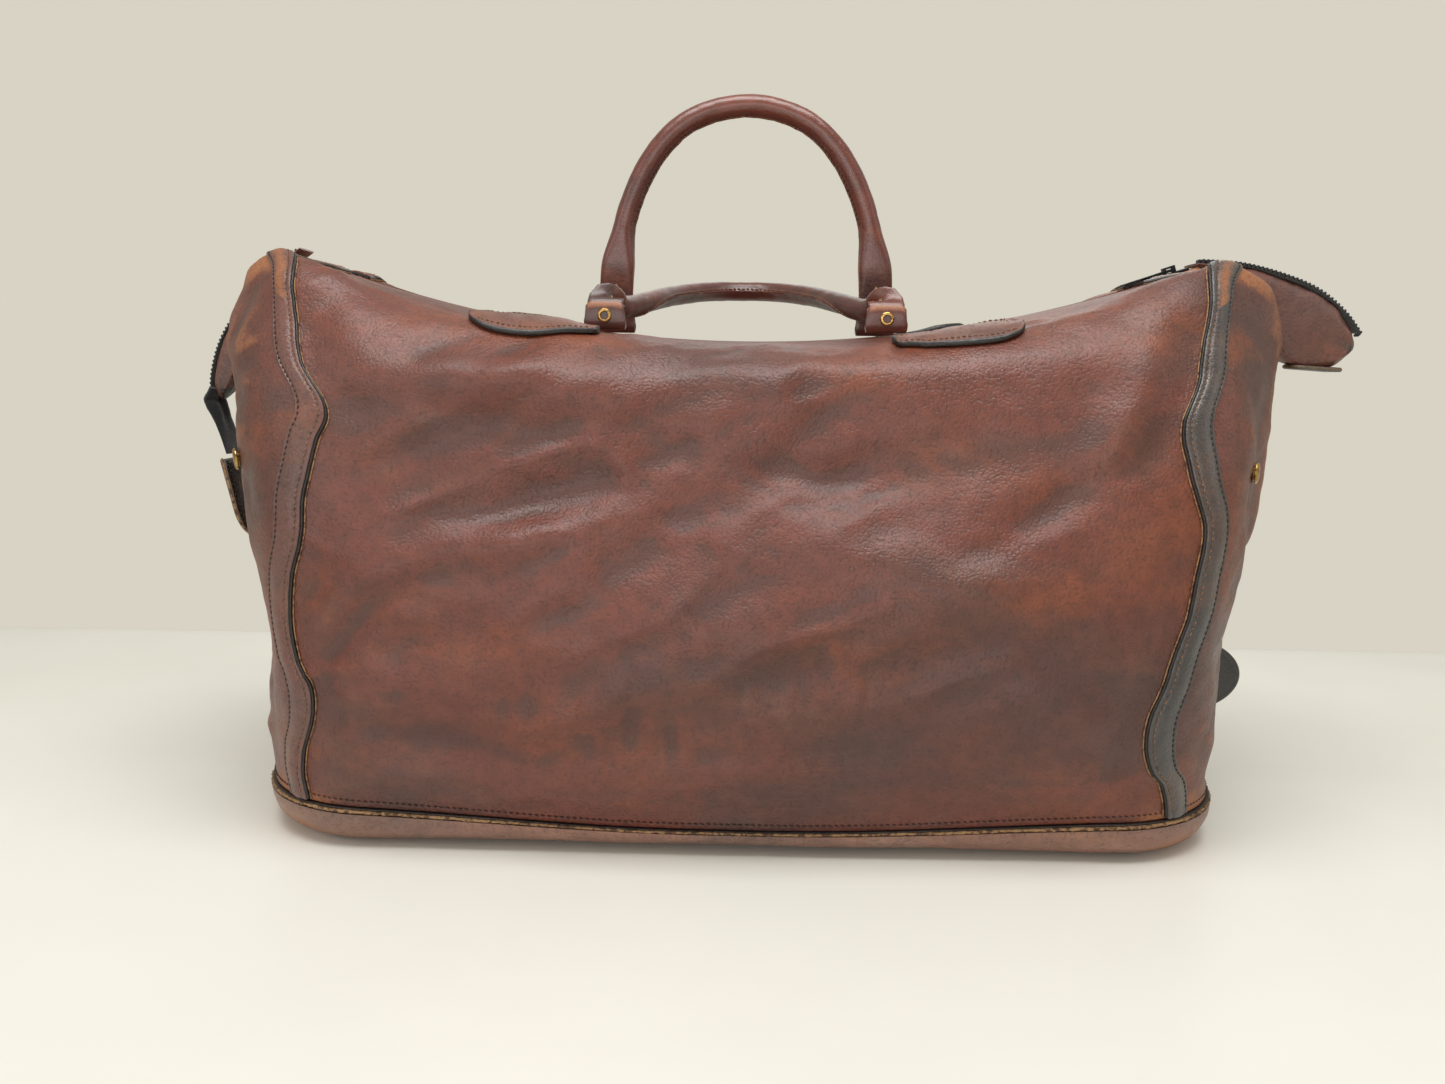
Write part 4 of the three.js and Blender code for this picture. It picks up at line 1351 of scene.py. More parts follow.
@dataclass
class Base:
    """The leather base cover, the raw welt in its seam and the stiffening board."""

    seam_z: float = 21.1
    bow: float = 23.0
    columns: int = 720

    def outline(self, outward: Grid, z: Grid) -> Grid:
        """The seam's outline moved outward.

        Args:
            outward: how far out, one value or one for each place.
            z: the height, in the same way.

        Returns:
            A loop of points.
        """
        around = np.linspace(0, 4, self.columns, endpoint=False)
        level = np.zeros(self.columns)
        point = SKIN.bare(around, level)
        out = SKIN.facing(SKIN.bare, around, level)
        out[:, 2] = 0
        out /= np.linalg.norm(out, axis=1, keepdims=True)
        moved = point + out * np.broadcast_to(outward, (self.columns,))[:, None]
        moved[:, 2] = z * (1 - SKIN.seam_sag(point[:, 0], point[:, 1]) / 25.0)
        return moved

    def inset(self) -> Grid:
        """How far the bottom edge lies inside the seam: more where the long sides sag over it."""
        edge = self.outline(0, 0)
        middle = 1 - smooth((np.abs(edge[:, 0]) - 40) / 200)
        long_side = smooth((np.abs(edge[:, 1]) - 70) / 40)
        return 14 + self.bow * (0.35 + 0.65 * middle) * long_side * np.where(edge[:, 1] < 0, 1.0, 0.7)

    def cover(self) -> bpy.types.Object:
        """The base cover."""
        inset, around = self.inset(), np.arange(self.columns) / 9.0
        rows = []
        for k, turn in enumerate(np.linspace(0, np.pi / 2, 15)):
            ripple = 0.7 * Unevenness(5).layered(
                around * 0.33, np.full(self.columns, k / 4.0), 3
            ) * math.sin(2 * turn)
            outward = -inset + (inset + 2.6) * math.sin(turn) ** 0.62 + ripple
            rows.append(self.outline(outward, 0.15 + (self.seam_z - 0.15) * (1 - math.cos(turn)) ** 0.85))
        for outward, z in ((-1.2, self.seam_z), (-3.0, 12.0), (-8.0, 5.0), (-30.0, 2.2)):
            rows.append(self.outline(outward - (inset - 9) * (z < 20), np.full(self.columns, z)))
        obj = sweep("base_cover_leather", np.array(rows))
        places = np.empty(len(obj.data.vertices) * 3)
        obj.data.vertices.foreach_get("co", places)
        x, y, height = np.abs(places.reshape(-1, 3).T) / MM
        worn = 0.2 + 0.8 * smooth((x - 200) / 60) * smooth((y - 40) / 60) * smooth(1.2 - height / 16)
        mark(obj, "wear", worn)
        # Painted shade along the top of the cover, under the welt.
        mark(obj, "painted_crease_shade", smooth((height - 17) / 4) * 0.8)
        return finish_piece(obj, Finish.BASE, "strip_leather", nodes=["base_cover"])

    def ring(
        self, label: str, outward: float, z: float, wide: float, tall: float, fray: float, finish: Finish
    ) -> bpy.types.Object:
        """A ribbon that runs round the seam.

        Args:
            label: the piece's name.
            outward: how far out of the seam its middle is.
            z: the height of its middle.
            wide: half its width.
            tall: half its height.
            fray: how ragged it is.
            finish: its finish.

        Returns:
            The piece.
        """
        self.columns, kept = 2100, self.columns
        ragged, low = Unevenness(61), Unevenness(67)
        around = np.arange(self.columns)
        loops = []
        for k, turn in enumerate(np.linspace(0, 2 * np.pi, 10, endpoint=False)):
            c, s = math.cos(turn), math.sin(turn)
            c, s = math.copysign(abs(c) ** 0.6, c), math.copysign(abs(s) ** 0.6, s)
            rough = fray * (
                ragged.at(
                    around * 0.83, np.full(self.columns, k * 1.7)
                ) + 0.6 * low.at(around * 0.21, around * 0 + k)
            )
            loops.append(
                self.outline(outward + c * wide + rough * max(c, 0.0), z + s * tall + 0.6 * rough * s)
            )
        self.columns = kept
        obj = sweep(label, np.array(loops).transpose(1, 0, 2), ring=True, sharp=80)
        return finish_piece(obj, finish, "raw_edge")

    def build(self) -> None:
        """Builds the base."""
        self.cover()
        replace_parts(self.ring("base_welt_raw_edge", 0.9, 22.5, 1.8, 0.85, 0.45, Finish.RAW), "base_welt")
        self.ring("base_welt_dark_line", 0.3, 24.0, 1.6, 0.5, 0.12, Finish.BURNISHED)
        around = np.linspace(0, 4, 2400)
        up = np.full(around.shape, 0.012)
        line = SKIN.off(around, up, 0.15)
        obj = stitches("base_seam_stitches", line, SKIN.facing(SKIN.at, around, up), 3.4, 2.4, 0.4)
        finish_piece(obj, Finish.DARK_THREAD, "raw_edge")
        finish_piece(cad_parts["base_board"], Finish.BOARD, "base_board", None)


# ---- The zip ----
def chamfered(size: tuple[float, float, float], cut: float) -> tuple[Grid, list[tuple[int, ...]]]:
    """A small block with its corners cut.

    Args:
        size: its three sides.
        cut: the width of the cut.

    Returns:
        Its points and its faces.
    """
    work = bmesh.new()
    bmesh.ops.create_cube(work, size=1.0)
    bmesh.ops.scale(work, vec=size, verts=work.verts)
    bmesh.ops.bevel(work, geom=work.edges[:], offset=cut, segments=1, affect="EDGES")
    points = np.array([v.co[:] for v in work.verts])
    work.verts.index_update()
    faces = [tuple(v.index for v in f.verts) for f in work.faces]
    work.free()
    return points, faces


def scatter(
    name: str, template: tuple[Grid, list[tuple[int, ...]]], centres: Grid, axes: Grid
) -> bpy.types.Object:
    """Many copies of a small block as one mesh.

    Args:
        name: the piece's name.
        template: the block's points and faces.
        centres: where each copy goes.
        axes: the three directions of each copy, as copies by 3 by 3.

    Returns:
        The new object.
    """
    points, faces = template
    every = centres[:, None] + np.einsum("pk,nkj->npj", points, axes)
    count = len(points)
    return mesh_object(
        name, every, [tuple(n + s * count for n in f) for s in range(len(centres)) for f in faces], 30
    )


def teeth(name: str, line: Grid, up: Grid, tip: float = 0.0) -> bpy.types.Object:
    """Two rows of interlocking moulded teeth along a line.

    Args:
        name: the piece's name.
        line: the points that the chain's middle follows.
        up: the outward direction at each point.
        tip: how far the teeth stand up from the line.

    Returns:
        The new object.
    """
    pitch = 2.7
    place, _ = along_path(line, pitch / 2)
    centre, out = read_line(line, place), read_line(up, place)
    ahead = np.gradient(centre, axis=0)
    ahead /= np.linalg.norm(ahead, axis=1, keepdims=True)
    across = np.cross(out, ahead)
    side = np.where(np.arange(len(centre)) % 2 == 0, 1.0, -1.0)[:, None]
    centre = centre + across * side * 1.5 + out * tip
    axes = np.stack([ahead, across, out], axis=1)
    return scatter(name, chamfered((1.75, 4.3, 2.7), 0.5), centre, axes)


@dataclass
class Zip:
    """The zip's chain and tapes, with the slider and its pull."""

    half_length: float = 258.5
    tape_half: float = 17.0

    def arc(self, x: Grid, below: Grid | float) -> Grid:
        """Points on the zip's arc.

        Args:
            x: the length along the arc from its middle.
            below: how far under the arc.

        Returns:
            The points, at Y 0.
        """
        angle = x / SKIN.zip_radius
        r = SKIN.zip_radius + below
        return np.stack(
            [r * np.sin(angle), np.zeros_like(angle), SKIN.zip_centre - r * np.cos(angle)], axis=-1
        )

    def tape(self, name: str, side: float) -> bpy.types.Object:
        """One woven tape, gently rippled between the leather and the teeth.

        Args:
            name: the frame's node that it replaces.
            side: 1 for the back, -1 for the front.

        Returns:
            The piece.
        """
        x = np.linspace(-self.half_length, self.half_length, 400)
        wide = np.linspace(3.2, self.tape_half, 14)
        ripple = 0.35 * Unevenness(19).layered(
            x[None] / 16, wide[:, None] / 6 + side, 2
        ) * smooth((wide[:, None] - 4) / 3)
        rib = 0.22 * bump(wide[:, None], 5.6, 0.6) + 0 * x[None]
        places = np.broadcast_to(x, ripple.shape)
        top, under = self.arc(places, 2.7 - ripple * 0.5 - rib), self.arc(places, 3.6 - ripple * 0.5)
        for grid in (top, under):
            grid[..., 1] = side * wide[:, None]
        if side > 0:
            obj = shell(f"{name}_cloth", top, under)
        else:
            obj = shell(f"{name}_cloth", top[::-1], under[::-1])
        return finish_piece(facing_out(obj), Finish.TAPE, "zip_tape", nodes=[name])

    def build(self) -> None:
        """Builds the zip and dresses its slider and pull."""
        x = np.linspace(-self.half_length, self.half_length, 500)
        line = self.arc(x, 1.9)
        centre = np.array([0.0, 0.0, SKIN.zip_centre])
        up = centre - line
        up /= np.linalg.norm(up, axis=1, keepdims=True)
        chain = teeth("zip_chain_teeth", line, up)
        finish_piece(chain, Finish.TEETH, "zip_teeth", nodes=["zip_chain"])
        self.tape("front_zip_tape", -1)
        self.tape("back_zip_tape", 1)
        for name in ("zip_slider", "zip_pull"):
            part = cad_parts[name]
            finish_piece(part, Finish.BLACK_METAL, "black_metal", None)
            rounded(part, 0.45, 3)


# ---- The handles ----
@dataclass
class Handle:
    """A rolled handle with its flat ends, chapes, eyelets and the patches beside its feet."""

    name: str
    front: float
    lean: float
    arch: tuple[tuple[float, float, float], ...]
    body: Body
    foot_x: float = 81.0
    foot_y: float = 28.0
    hinge_z: float = 297.0
    radius: float = 6.3
    flat: float = 20.0
    patch_level: float = 0.885
    patch_start: float = 76.0
    patch_length: float = 65.0

    def centre_line(self) -> Grid:
        """Points along the handle's middle, from the left flat end over to the right one."""
        y = -self.front * self.foot_y
        reach = 8.0
        neck = (self.foot_x, reach * math.sin(self.lean), reach * math.cos(self.lean))
        half = [
            (self.foot_x, 0.0, -14.3), (self.foot_x, 0.0, -7.0), (self.foot_x, 0.0, 0.2), neck, *self.arch
        ]
        points = [(-px, y + py, self.hinge_z + pz) for px, py, pz in half]
        points += [(px, y + py, self.hinge_z + pz) for px, py, pz in half[-2::-1]]
        rows = np.array(points)
        for _ in range(4):
            kept = rows[[0, -1]]
            first, second = 0.75 * rows[:-1] + 0.25 * rows[1:], 0.25 * rows[:-1] + 0.75 * rows[1:]
            rows = np.stack([first, second], axis=1).reshape(-1, 3)
            rows = np.concatenate([kept[:1], rows[1:-1], kept[1:]])
        place, _ = along_path(rows, 2.0)
        return read_line(rows, place)

    def frames(self, line: Grid) -> tuple[Grid, Grid]:
        """The handle's own directions along its line.

        Args:
            line: points along its middle.

        Returns:
            The outward direction of the arch, and the direction across its plane.
        """
        ahead = np.gradient(line, axis=0)
        ahead /= np.linalg.norm(ahead, axis=1, keepdims=True)
        lean = smooth((line[:, 2] - self.hinge_z + 1) / 8) * self.lean
        plane = np.stack([np.zeros_like(lean), -np.cos(lean), np.sin(lean)], axis=1)
        plane -= ahead * np.einsum("ij,ij->i", plane, ahead)[:, None]
        plane /= np.linalg.norm(plane, axis=1, keepdims=True)
        return -np.cross(plane, ahead), plane

    def cover(self) -> bpy.types.Object:
        """The leather that is rolled round the core and flattened at both ends."""
        line = self.centre_line()
        out, plane = self.frames(line)
        _, run = along_path(line, 2.0)
        length = np.interp(np.arange(len(line)), np.linspace(0, len(line) - 1, len(run)), run)
        from_end = np.minimum(length, length[-1] - length)
        rolled = smooth((from_end - self.flat) / 30)
        angle = np.linspace(0, 2 * np.pi, 40, endpoint=False)
        c, s = np.cos(angle)[None], np.sin(angle)[None]
        flat_c = np.sign(c) * np.abs(c) ** 0.35
        flat_s = np.sign(s) * np.abs(s) ** 0.7
        wide = 10.4 * (1 - rolled) + self.radius * rolled
        fullness = smooth((from_end - 13) / 30)
        thick = 1.35 * (1 - fullness) + self.radius * fullness
        u = wide[:, None] * (flat_c * (1 - rolled[:, None]) + c * rolled[:, None])
        v = thick[:, None] * (flat_s * (1 - rolled[:, None]) + s * rolled[:, None])
        ridge = 1.15 * np.exp(-((np.angle(np.exp(1j * angle)) / 0.2) ** 2))[None] * rolled[:, None]
        wrinkle = 0.16 * Unevenness(29).layered(length[:, None] / 5.0, angle[None] * 1.3, 3) * rolled[:, None]
        u = u + (ridge + wrinkle) * c
        v = v + (ridge + wrinkle) * s
        loops = line[:, None] + u[..., None] * out[:, None] + v[..., None] * plane[:, None]
        obj = sweep(f"{self.name}_handle_leather", loops, sharp=60)
        side = np.abs(np.angle(np.exp(1j * angle)))[None] + 0 * length[:, None]
        mark(
            obj, "wear",
            0.28 * np.exp(-((side / 0.5) ** 2)) + 0.35 * bump(from_end[:, None], 30, 16)
        )
        # Painted shade along both sides of the rolled part.
        mark(obj, "painted_crease_shade", 0.8 * bump(side, 0.42, 0.16) * rolled[:, None])
        nodes = [f"{self.name}_{part}" for part in ("handle_cover", "flat_end_left", "flat_end_right")]
        finish_piece(obj, Finish.HANDLE, "handle_leather", None, nodes)
        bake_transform(obj)
        keep = from_end > self.flat + 30
        top = line + out * (self.radius + 0.72)
        row = (top + plane * 1.35)[keep]
        thread = stitches(f"{self.name}_handle_seam_stitches", row, (out + plane * 0.3)[keep], 3.0, 2.2, 0.36)
        finish_piece(thread, Finish.TAN_THREAD, "raw_edge", self.body)
        return obj

    def chape(self, label: str, side: float) -> bpy.types.Object:
        """A folded keeper that holds one flat end.

        Args:
            label: left or right.
            side: -1 or 1.

        Returns:
            The piece.
        """
        middle = np.array([side * self.foot_x, -self.front * self.foot_y, 0.0])
        outside = [(-3.9, 295.4), (-4.0, 290), (-4.1, 285), (-3.6, 282), (-2.4, 280.7)]
        inside = [(3.2, 295.9), (2.2, 295.4), (1.9, 290), (1.9, 285), (1.5, 282.9)]
        section = np.array(mirrored(outside, (0, 280.3)) + mirrored(inside, (0, 282.2)))
        heart = section.mean(axis=0)
        rows = []
        for x in np.concatenate([[-12.0, -11.8, -11.3], np.linspace(-10.4, 10.4, 15), [11.3, 11.8, 12.0]]):
            shrink = 0.45 * smooth((abs(x) - 10.8) / 1.2)
            moved = section.copy()
            moved[:, 0] *= 1 - 0.16 * shrink
            moved[:, 1] -= (shrink * 1.2 + 1.5 * smooth((abs(x) - 7.5) / 4.5) ** 2) * (moved[:, 1] > heart[1])
            bend = 0.35 * math.sin(x * 0.35 + side) * smooth((section[:, 1] - 283) / 8)
            narrow = 1 - 0.09 * smooth((section[:, 1] - 284) / 10) - 0.05 * smooth((283 - section[:, 1]) / 3)
            rows.append(np.stack([x * narrow, moved[:, 0] + bend * 0.4, moved[:, 1]], axis=1) + middle)
        obj = sweep(f"{self.name}_chape_{label}_leather", np.array(rows), sharp=60)
        grid = np.array(rows)
        mark(obj, "wear", 0.9 * smooth((grid[..., 2] - 293.2) / 1.6) + 0.5 * smooth((283 - grid[..., 2]) / 2))
        return finish_piece(obj, Finish.HANDLE, "red_leather", nodes=[f"{self.name}_chape_{label}"])

    def eyelet(self, label: str, side: float) -> bpy.types.Object:
        """The brass eyelet through a chape.

        Args:
            label: left or right.
            side: -1 or 1.

        Returns:
            The piece.
        """
        origin = np.array([side * self.foot_x, -self.front * self.foot_y, 288.0])
        half: list[tuple[float, float]] = [
            (2.2, 4.9), (2.5, 5.3), (3.1, 5.4), (3.7, 5.1), (4.1, 4.6), (4.1, 4.35), (3.0, 4.3), (2.9, 3.6)
        ]
        profile = tuple(half + [(r, -h) for r, h in reversed(half)] + half[:1])
        obj = turned(f"{self.name}_eyelet_{label}_brass", profile, origin, np.array([0, 1, 0]))
        return finish_piece(obj, Finish.BRASS, "brass", nodes=[f"{self.name}_eyelet_{label}"])

    def patch(self, label: str, side: float) -> None:
        """A stitched tongue beside one foot, with thick dark edges.

        Args:
            label: left or right.
            side: -1 or 1.
        """
        middle = 0.0 if self.front > 0 else 2.0
        turn = side if self.front > 0 else -side
        along = np.concatenate([[0.0, 0.004, 0.012], np.linspace(0.03, 0.97, 44), [0.985, 0.994, 1.0]])
        x = self.patch_start + self.patch_length * along
        line = x * SKIN.straight / (float(through(self.patch_level, SKIN.length)) - SKIN.corner_radius)
        half = (0.017 + 0.03 * np.sin(np.pi / 2 * np.minimum(1, along * 1.5))) * np.sqrt(
            np.clip(1 - (np.clip(along - 0.68, 0, 1) / 0.32) ** 2, 0.004, 1)
        )
        half = half * np.sqrt(np.clip(along / 0.02, 0.05, 1))
        across = np.array(
            [-1.0, -1.0, -0.95, -0.84, -0.66, -0.4, 0.0, 0.4, 0.66, 0.84, 0.95, 1.0, 1.0, 0.8, 0.0, -0.8]
        )
        height = np.array([1.2, 2.9, 3.5, 3.6, 3.2, 3.75, 4.0, 3.75, 3.2, 3.6, 3.5, 2.9, 1.2, 0.9, 0.9, 0.9])
        up = self.patch_level + across[None] * half[:, None]
        around = middle + turn * np.broadcast_to(line[:, None], up.shape)
        loops = SKIN.off(around, np.clip(up, 0.0, 0.998), np.broadcast_to(height, up.shape))
        obj = sweep(f"{self.name}_patch_{label}_leather", loops, sharp=70)
        end = (along < 0.02) | (along > 0.985)
        rim = ((np.abs(across) > 0.9) | (height < 1.5))[None] | end[:, None]
        mark(obj, "edge", np.where(rim, 1.0, 0.0))
        mark(obj, "wear", np.full(up.shape, 0.22))
        finish_piece(obj, Finish.STRIP, "strip_leather", nodes=[f"{self.name}_patch_{label}"])
        inset = np.concatenate([np.linspace(0.03, 0.9, 60), np.linspace(0.9, 0.03, 60)])
        edge = np.interp(inset, along, half) * 0.68 * np.repeat([1.0, -1.0], 60)
        row = middle + turn * np.interp(inset, along, line)
        seam = SKIN.off(row, self.patch_level + edge, 3.35)
        thread = stitches(
            f"{self.name}_patch_{label}_stitches", seam, SKIN.facing(SKIN.at, row, self.patch_level + edge),
            3.0, 2.1, 0.38
        )
        finish_piece(thread, Finish.TAN_THREAD, "raw_edge")

    def build(self) -> None:
        """Builds the handle and both its feet."""
        self.cover()
        for label, side in (("left", -1.0), ("right", 1.0)):
            self.chape(label, side)
            self.eyelet(label, side)
            self.patch(label, side)
        finish_piece(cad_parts[f"{self.name}_handle_core"], Finish.ROPE, "rope_core", None)


# ---- The ends of the zip and the fittings on the gussets ----
@dataclass
class ZipEnd:
    """The leather end piece that carries the zip out past one end of the bag."""

    label: str
    side: float
    drop: float
    body: Body
    pucker: float
    under: Pairs
    hinge_x: float = 268.0
    half: float = 10.8

    def placed(self, points: Grid) -> Grid:
        """Points of the level end piece, [out, up], turned down and moved to this end.

        Args:
            points: rows of out and up.

        Returns:
            Rows of X and Z.
        """
        a = math.radians(self.drop)
        out = points[..., 0] * math.cos(a) + points[..., 1] * math.sin(a)
        up = points[..., 1] * math.cos(a) - points[..., 0] * math.sin(a)
        hinge_z = float(SKIN.zip_height(self.hinge_x)) + 1.8
        return np.stack([self.side * (self.hinge_x + out), hinge_z + up], axis=-1)

    def build(self) -> None:
        """Builds the end piece and the teeth along its top."""
        t = np.linspace(0, 1, 70)
        top_line = np.array([(-4, -0.2), (25, -2), (50, -8), (70, -16), (86, -28), (97, -41)], float)
        under_line = np.array(self.under, float)
        top, under = (read_flat_line(line, t) for line in (top_line, under_line))
        angle = np.linspace(0, 2 * np.pi, 30, endpoint=False)
        c, s = np.cos(angle)[None], np.sin(angle)[None]
        c, s = np.sign(c) * np.abs(c) ** 0.7, np.sign(s) * np.abs(s) ** 0.6
        middle, reach = (top + under) / 2, (top - under) / 2
        pleat = 0.9 * np.cos(angle * 7)[None] * smooth((t - (1 - self.pucker)) / self.pucker)[:, None]
        band = 0.45 * np.sin(t * 44)[:, None] * smooth((t - 0.3) / 0.3)[:, None] * (1 - 0.7 * np.abs(s))
        soft = 0.8 * Unevenness(91).layered(t[:, None] * 9 + self.side, angle[None] * 1.1, 3)
        narrow = (1 - 0.25 * smooth((t - 0.75) / 0.25)) * np.sqrt(
            np.clip(1 - ((t - 0.9) / 0.1).clip(0, 1) ** 2, 0.08, 1)
        )
        swell = (pleat + soft * smooth(t * 5)[:, None]) / self.half
        flat = middle[:, None] + reach[:, None] * (s * (1 + swell * 0.6))[..., None] * narrow[:, None, None]
        xz = self.placed(flat)
        y = (self.half * narrow)[:, None] * c * (1 + swell) + 0 * s
        loops = np.stack([xz[..., 0] + band * self.side * 0.2, y, xz[..., 1]], axis=-1)
        obj = sweep(f"{self.label}_zip_end_piece", loops, sharp=70)
        mark(obj, "wear", (0.08 + 0.3 * smooth((t - 0.8) / 0.2))[:, None] + 0 * y)
        # Painted shade in the pleats, the soft hollows and along one line across the piece.
        mark(
            obj, "painted_crease_shade",
            smooth(-pleat * 1.2) + smooth(-soft * 0.8) * 0.5 + 0.8 * np.exp(
                -(((t[:, None] - 0.42) / 0.02) ** 2)
            )
        )
        mark(obj, "edge", np.where((t[:, None] > 0.93) & (s < 0.2), 0.5, 0.0) + 0 * y)
        finish_piece(obj, Finish.STRIP, "red_leather", None, [f"{self.label}_zip_end_leather"])
        bend = [Vector((self.side * x, 0, float(SKIN.zip_height(268)) + 1.8)) * MM for x in (262.0, 274.0)]
        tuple(bend[0])
        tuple(bend[1])
        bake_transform(obj)
        place = np.linspace(0.04, 1.0, 200)
        path = read_flat_line(top_line, place)
        ahead = np.gradient(path, axis=0)
        out = np.stack([-ahead[:, 1], ahead[:, 0]], axis=1)
        out /= np.linalg.norm(out, axis=1, keepdims=True)
        line, tip = self.placed(path + out * 1.8), self.placed(path + out * 3.8)
        up = tip - line
        up /= np.linalg.norm(up, axis=1, keepdims=True)
        zeros = np.zeros(len(line))
        line3 = np.stack([line[:, 0], zeros, line[:, 1]], axis=1)
        up3 = np.stack([up[:, 0], zeros, up[:, 1]], axis=1)
        chain = teeth(f"{self.label}_zip_end_teeth", line3, up3)
        finish_piece(chain, Finish.TEETH, "zip_teeth", self.body, [f"{self.label}_zip_end_chain"])
        edge = np.array([-1.0, -1.0, -0.3, 0.3, 1.0, 1.0, 0.5, -0.5])
        high = np.array([-0.4, 0.0, 0.15, 0.15, 0.0, -0.4, -0.4, -0.4])
        tape = line3[:, None] + up3[:, None] * (
            high[None, :, None] - 1.35
        ) + np.array([0, 1.0, 0]) * (edge[None, :, None] * 7.4)
        obj = sweep(f"{self.label}_zip_end_tape", tape[6:-4], sharp=70)
        finish_piece(obj, Finish.TAPE, "zip_tape", self.body)


def read_flat_line(line: Grid, t: Grid) -> Grid:
    """Points at even shares of the length of a flat line, on a smooth curve."""
    run = np.concatenate([[0], np.cumsum(np.linalg.norm(np.diff(line, axis=0), axis=1))])
    run /= run[-1]
    return np.stack([through(t, tuple(zip(run.tolist(), line[:, k].tolist()))) for k in range(2)], axis=-1)


def tab_outline(half: float, length: float, steps: int = 26) -> Grid:
    """A tab's outline, straight at its fold and round at its free end, as rows of X and Y."""
    turn = np.linspace(-np.pi / 2, np.pi / 2, steps)
    round_end = np.stack([length - half + half * np.cos(turn), half * np.sin(turn)], axis=1)
    straight = np.linspace(0, length - half, 12)[:-1]
    near = np.stack([straight, np.full(11, -half)], axis=1)
    far = np.stack([straight[::-1], np.full(11, half)], axis=1)
    return np.concatenate([near, round_end, far])


def slab(name: str, outline: Grid, thickness: float, place: Matrix, bow: float = 0.0) -> bpy.types.Object:
    """A leather tab with rounded edges.

    Args:
        name: the piece's name.
        outline: rows of X and Y.
        thickness: how thick it is, down from 0.
        place: where it goes.
        bow: how far its middle rises.

    Returns:
        The new object, with its rim marked as worn.
    """
    heart = outline.mean(axis=0)
    away = heart - outline
    distance = np.linalg.norm(away, axis=1, keepdims=True)
    soft = min(0.8, thickness * 0.3)
    groove = 2.6
    centre = distance[:, 0] * 0.6
    rows = [
        (centre, 0.0), (groove + 1, 0.0), (groove, -0.3), (groove - 0.8, -0.02), (soft, 0.0), (0.0, -soft),
        (0.0, soft - thickness), (soft, -thickness), (centre, -thickness),
    ]
    loops, rims = [], []
    for inset, z in rows:
        flat = outline + away / distance * np.broadcast_to(inset, (len(outline),))[:, None]
        rise = bow * np.sin(np.pi * np.clip(flat[:, 0] / outline[:, 0].max(), 0, 1))
        loops.append(np.stack([flat[:, 0], flat[:, 1], rise + z], axis=1))
        rims.append(
            np.full(len(outline), 1.0 if -thickness < z < 0 and np.ndim(inset) == 0 and inset < 0.5 else 0.0)
        )
    points = np.array(loops).reshape(-1, 3)
    turned_points = np.array([place @ Vector(p) for p in points.tolist()]).reshape(len(rows), -1, 3)
    obj = sweep(name, turned_points, sharp=60)
    mark(obj, "wear", np.array(rims) * 0.9 + 0.08)
    return obj


STUD: Pairs = (
    (0, 0), (0.62, 0), (0.64, 0.3), (0.92, 0.36), (1.0, 0.46), (1.0, 0.58), (0.93, 0.74), (0.78, 0.88),
    (0.5, 0.98), (0.2, 1.0), (0, 1.0)
)
SOCKET: Pairs = (
    (0, 0), (0.8, 0), (0.84, 0.3), (1.0, 0.4), (1.0, 0.85), (0.93, 1.0), (0.8, 0.97), (0.72, 0.8),
    (0.5, 0.72), (0.42, 0.55), (0, 0.5)
)


def scaled(profile: Pairs, radius: float, height: float) -> Pairs:
    """A lathe outline at its real radius and height."""
    return tuple((r * radius, h * height) for r, h in profile)


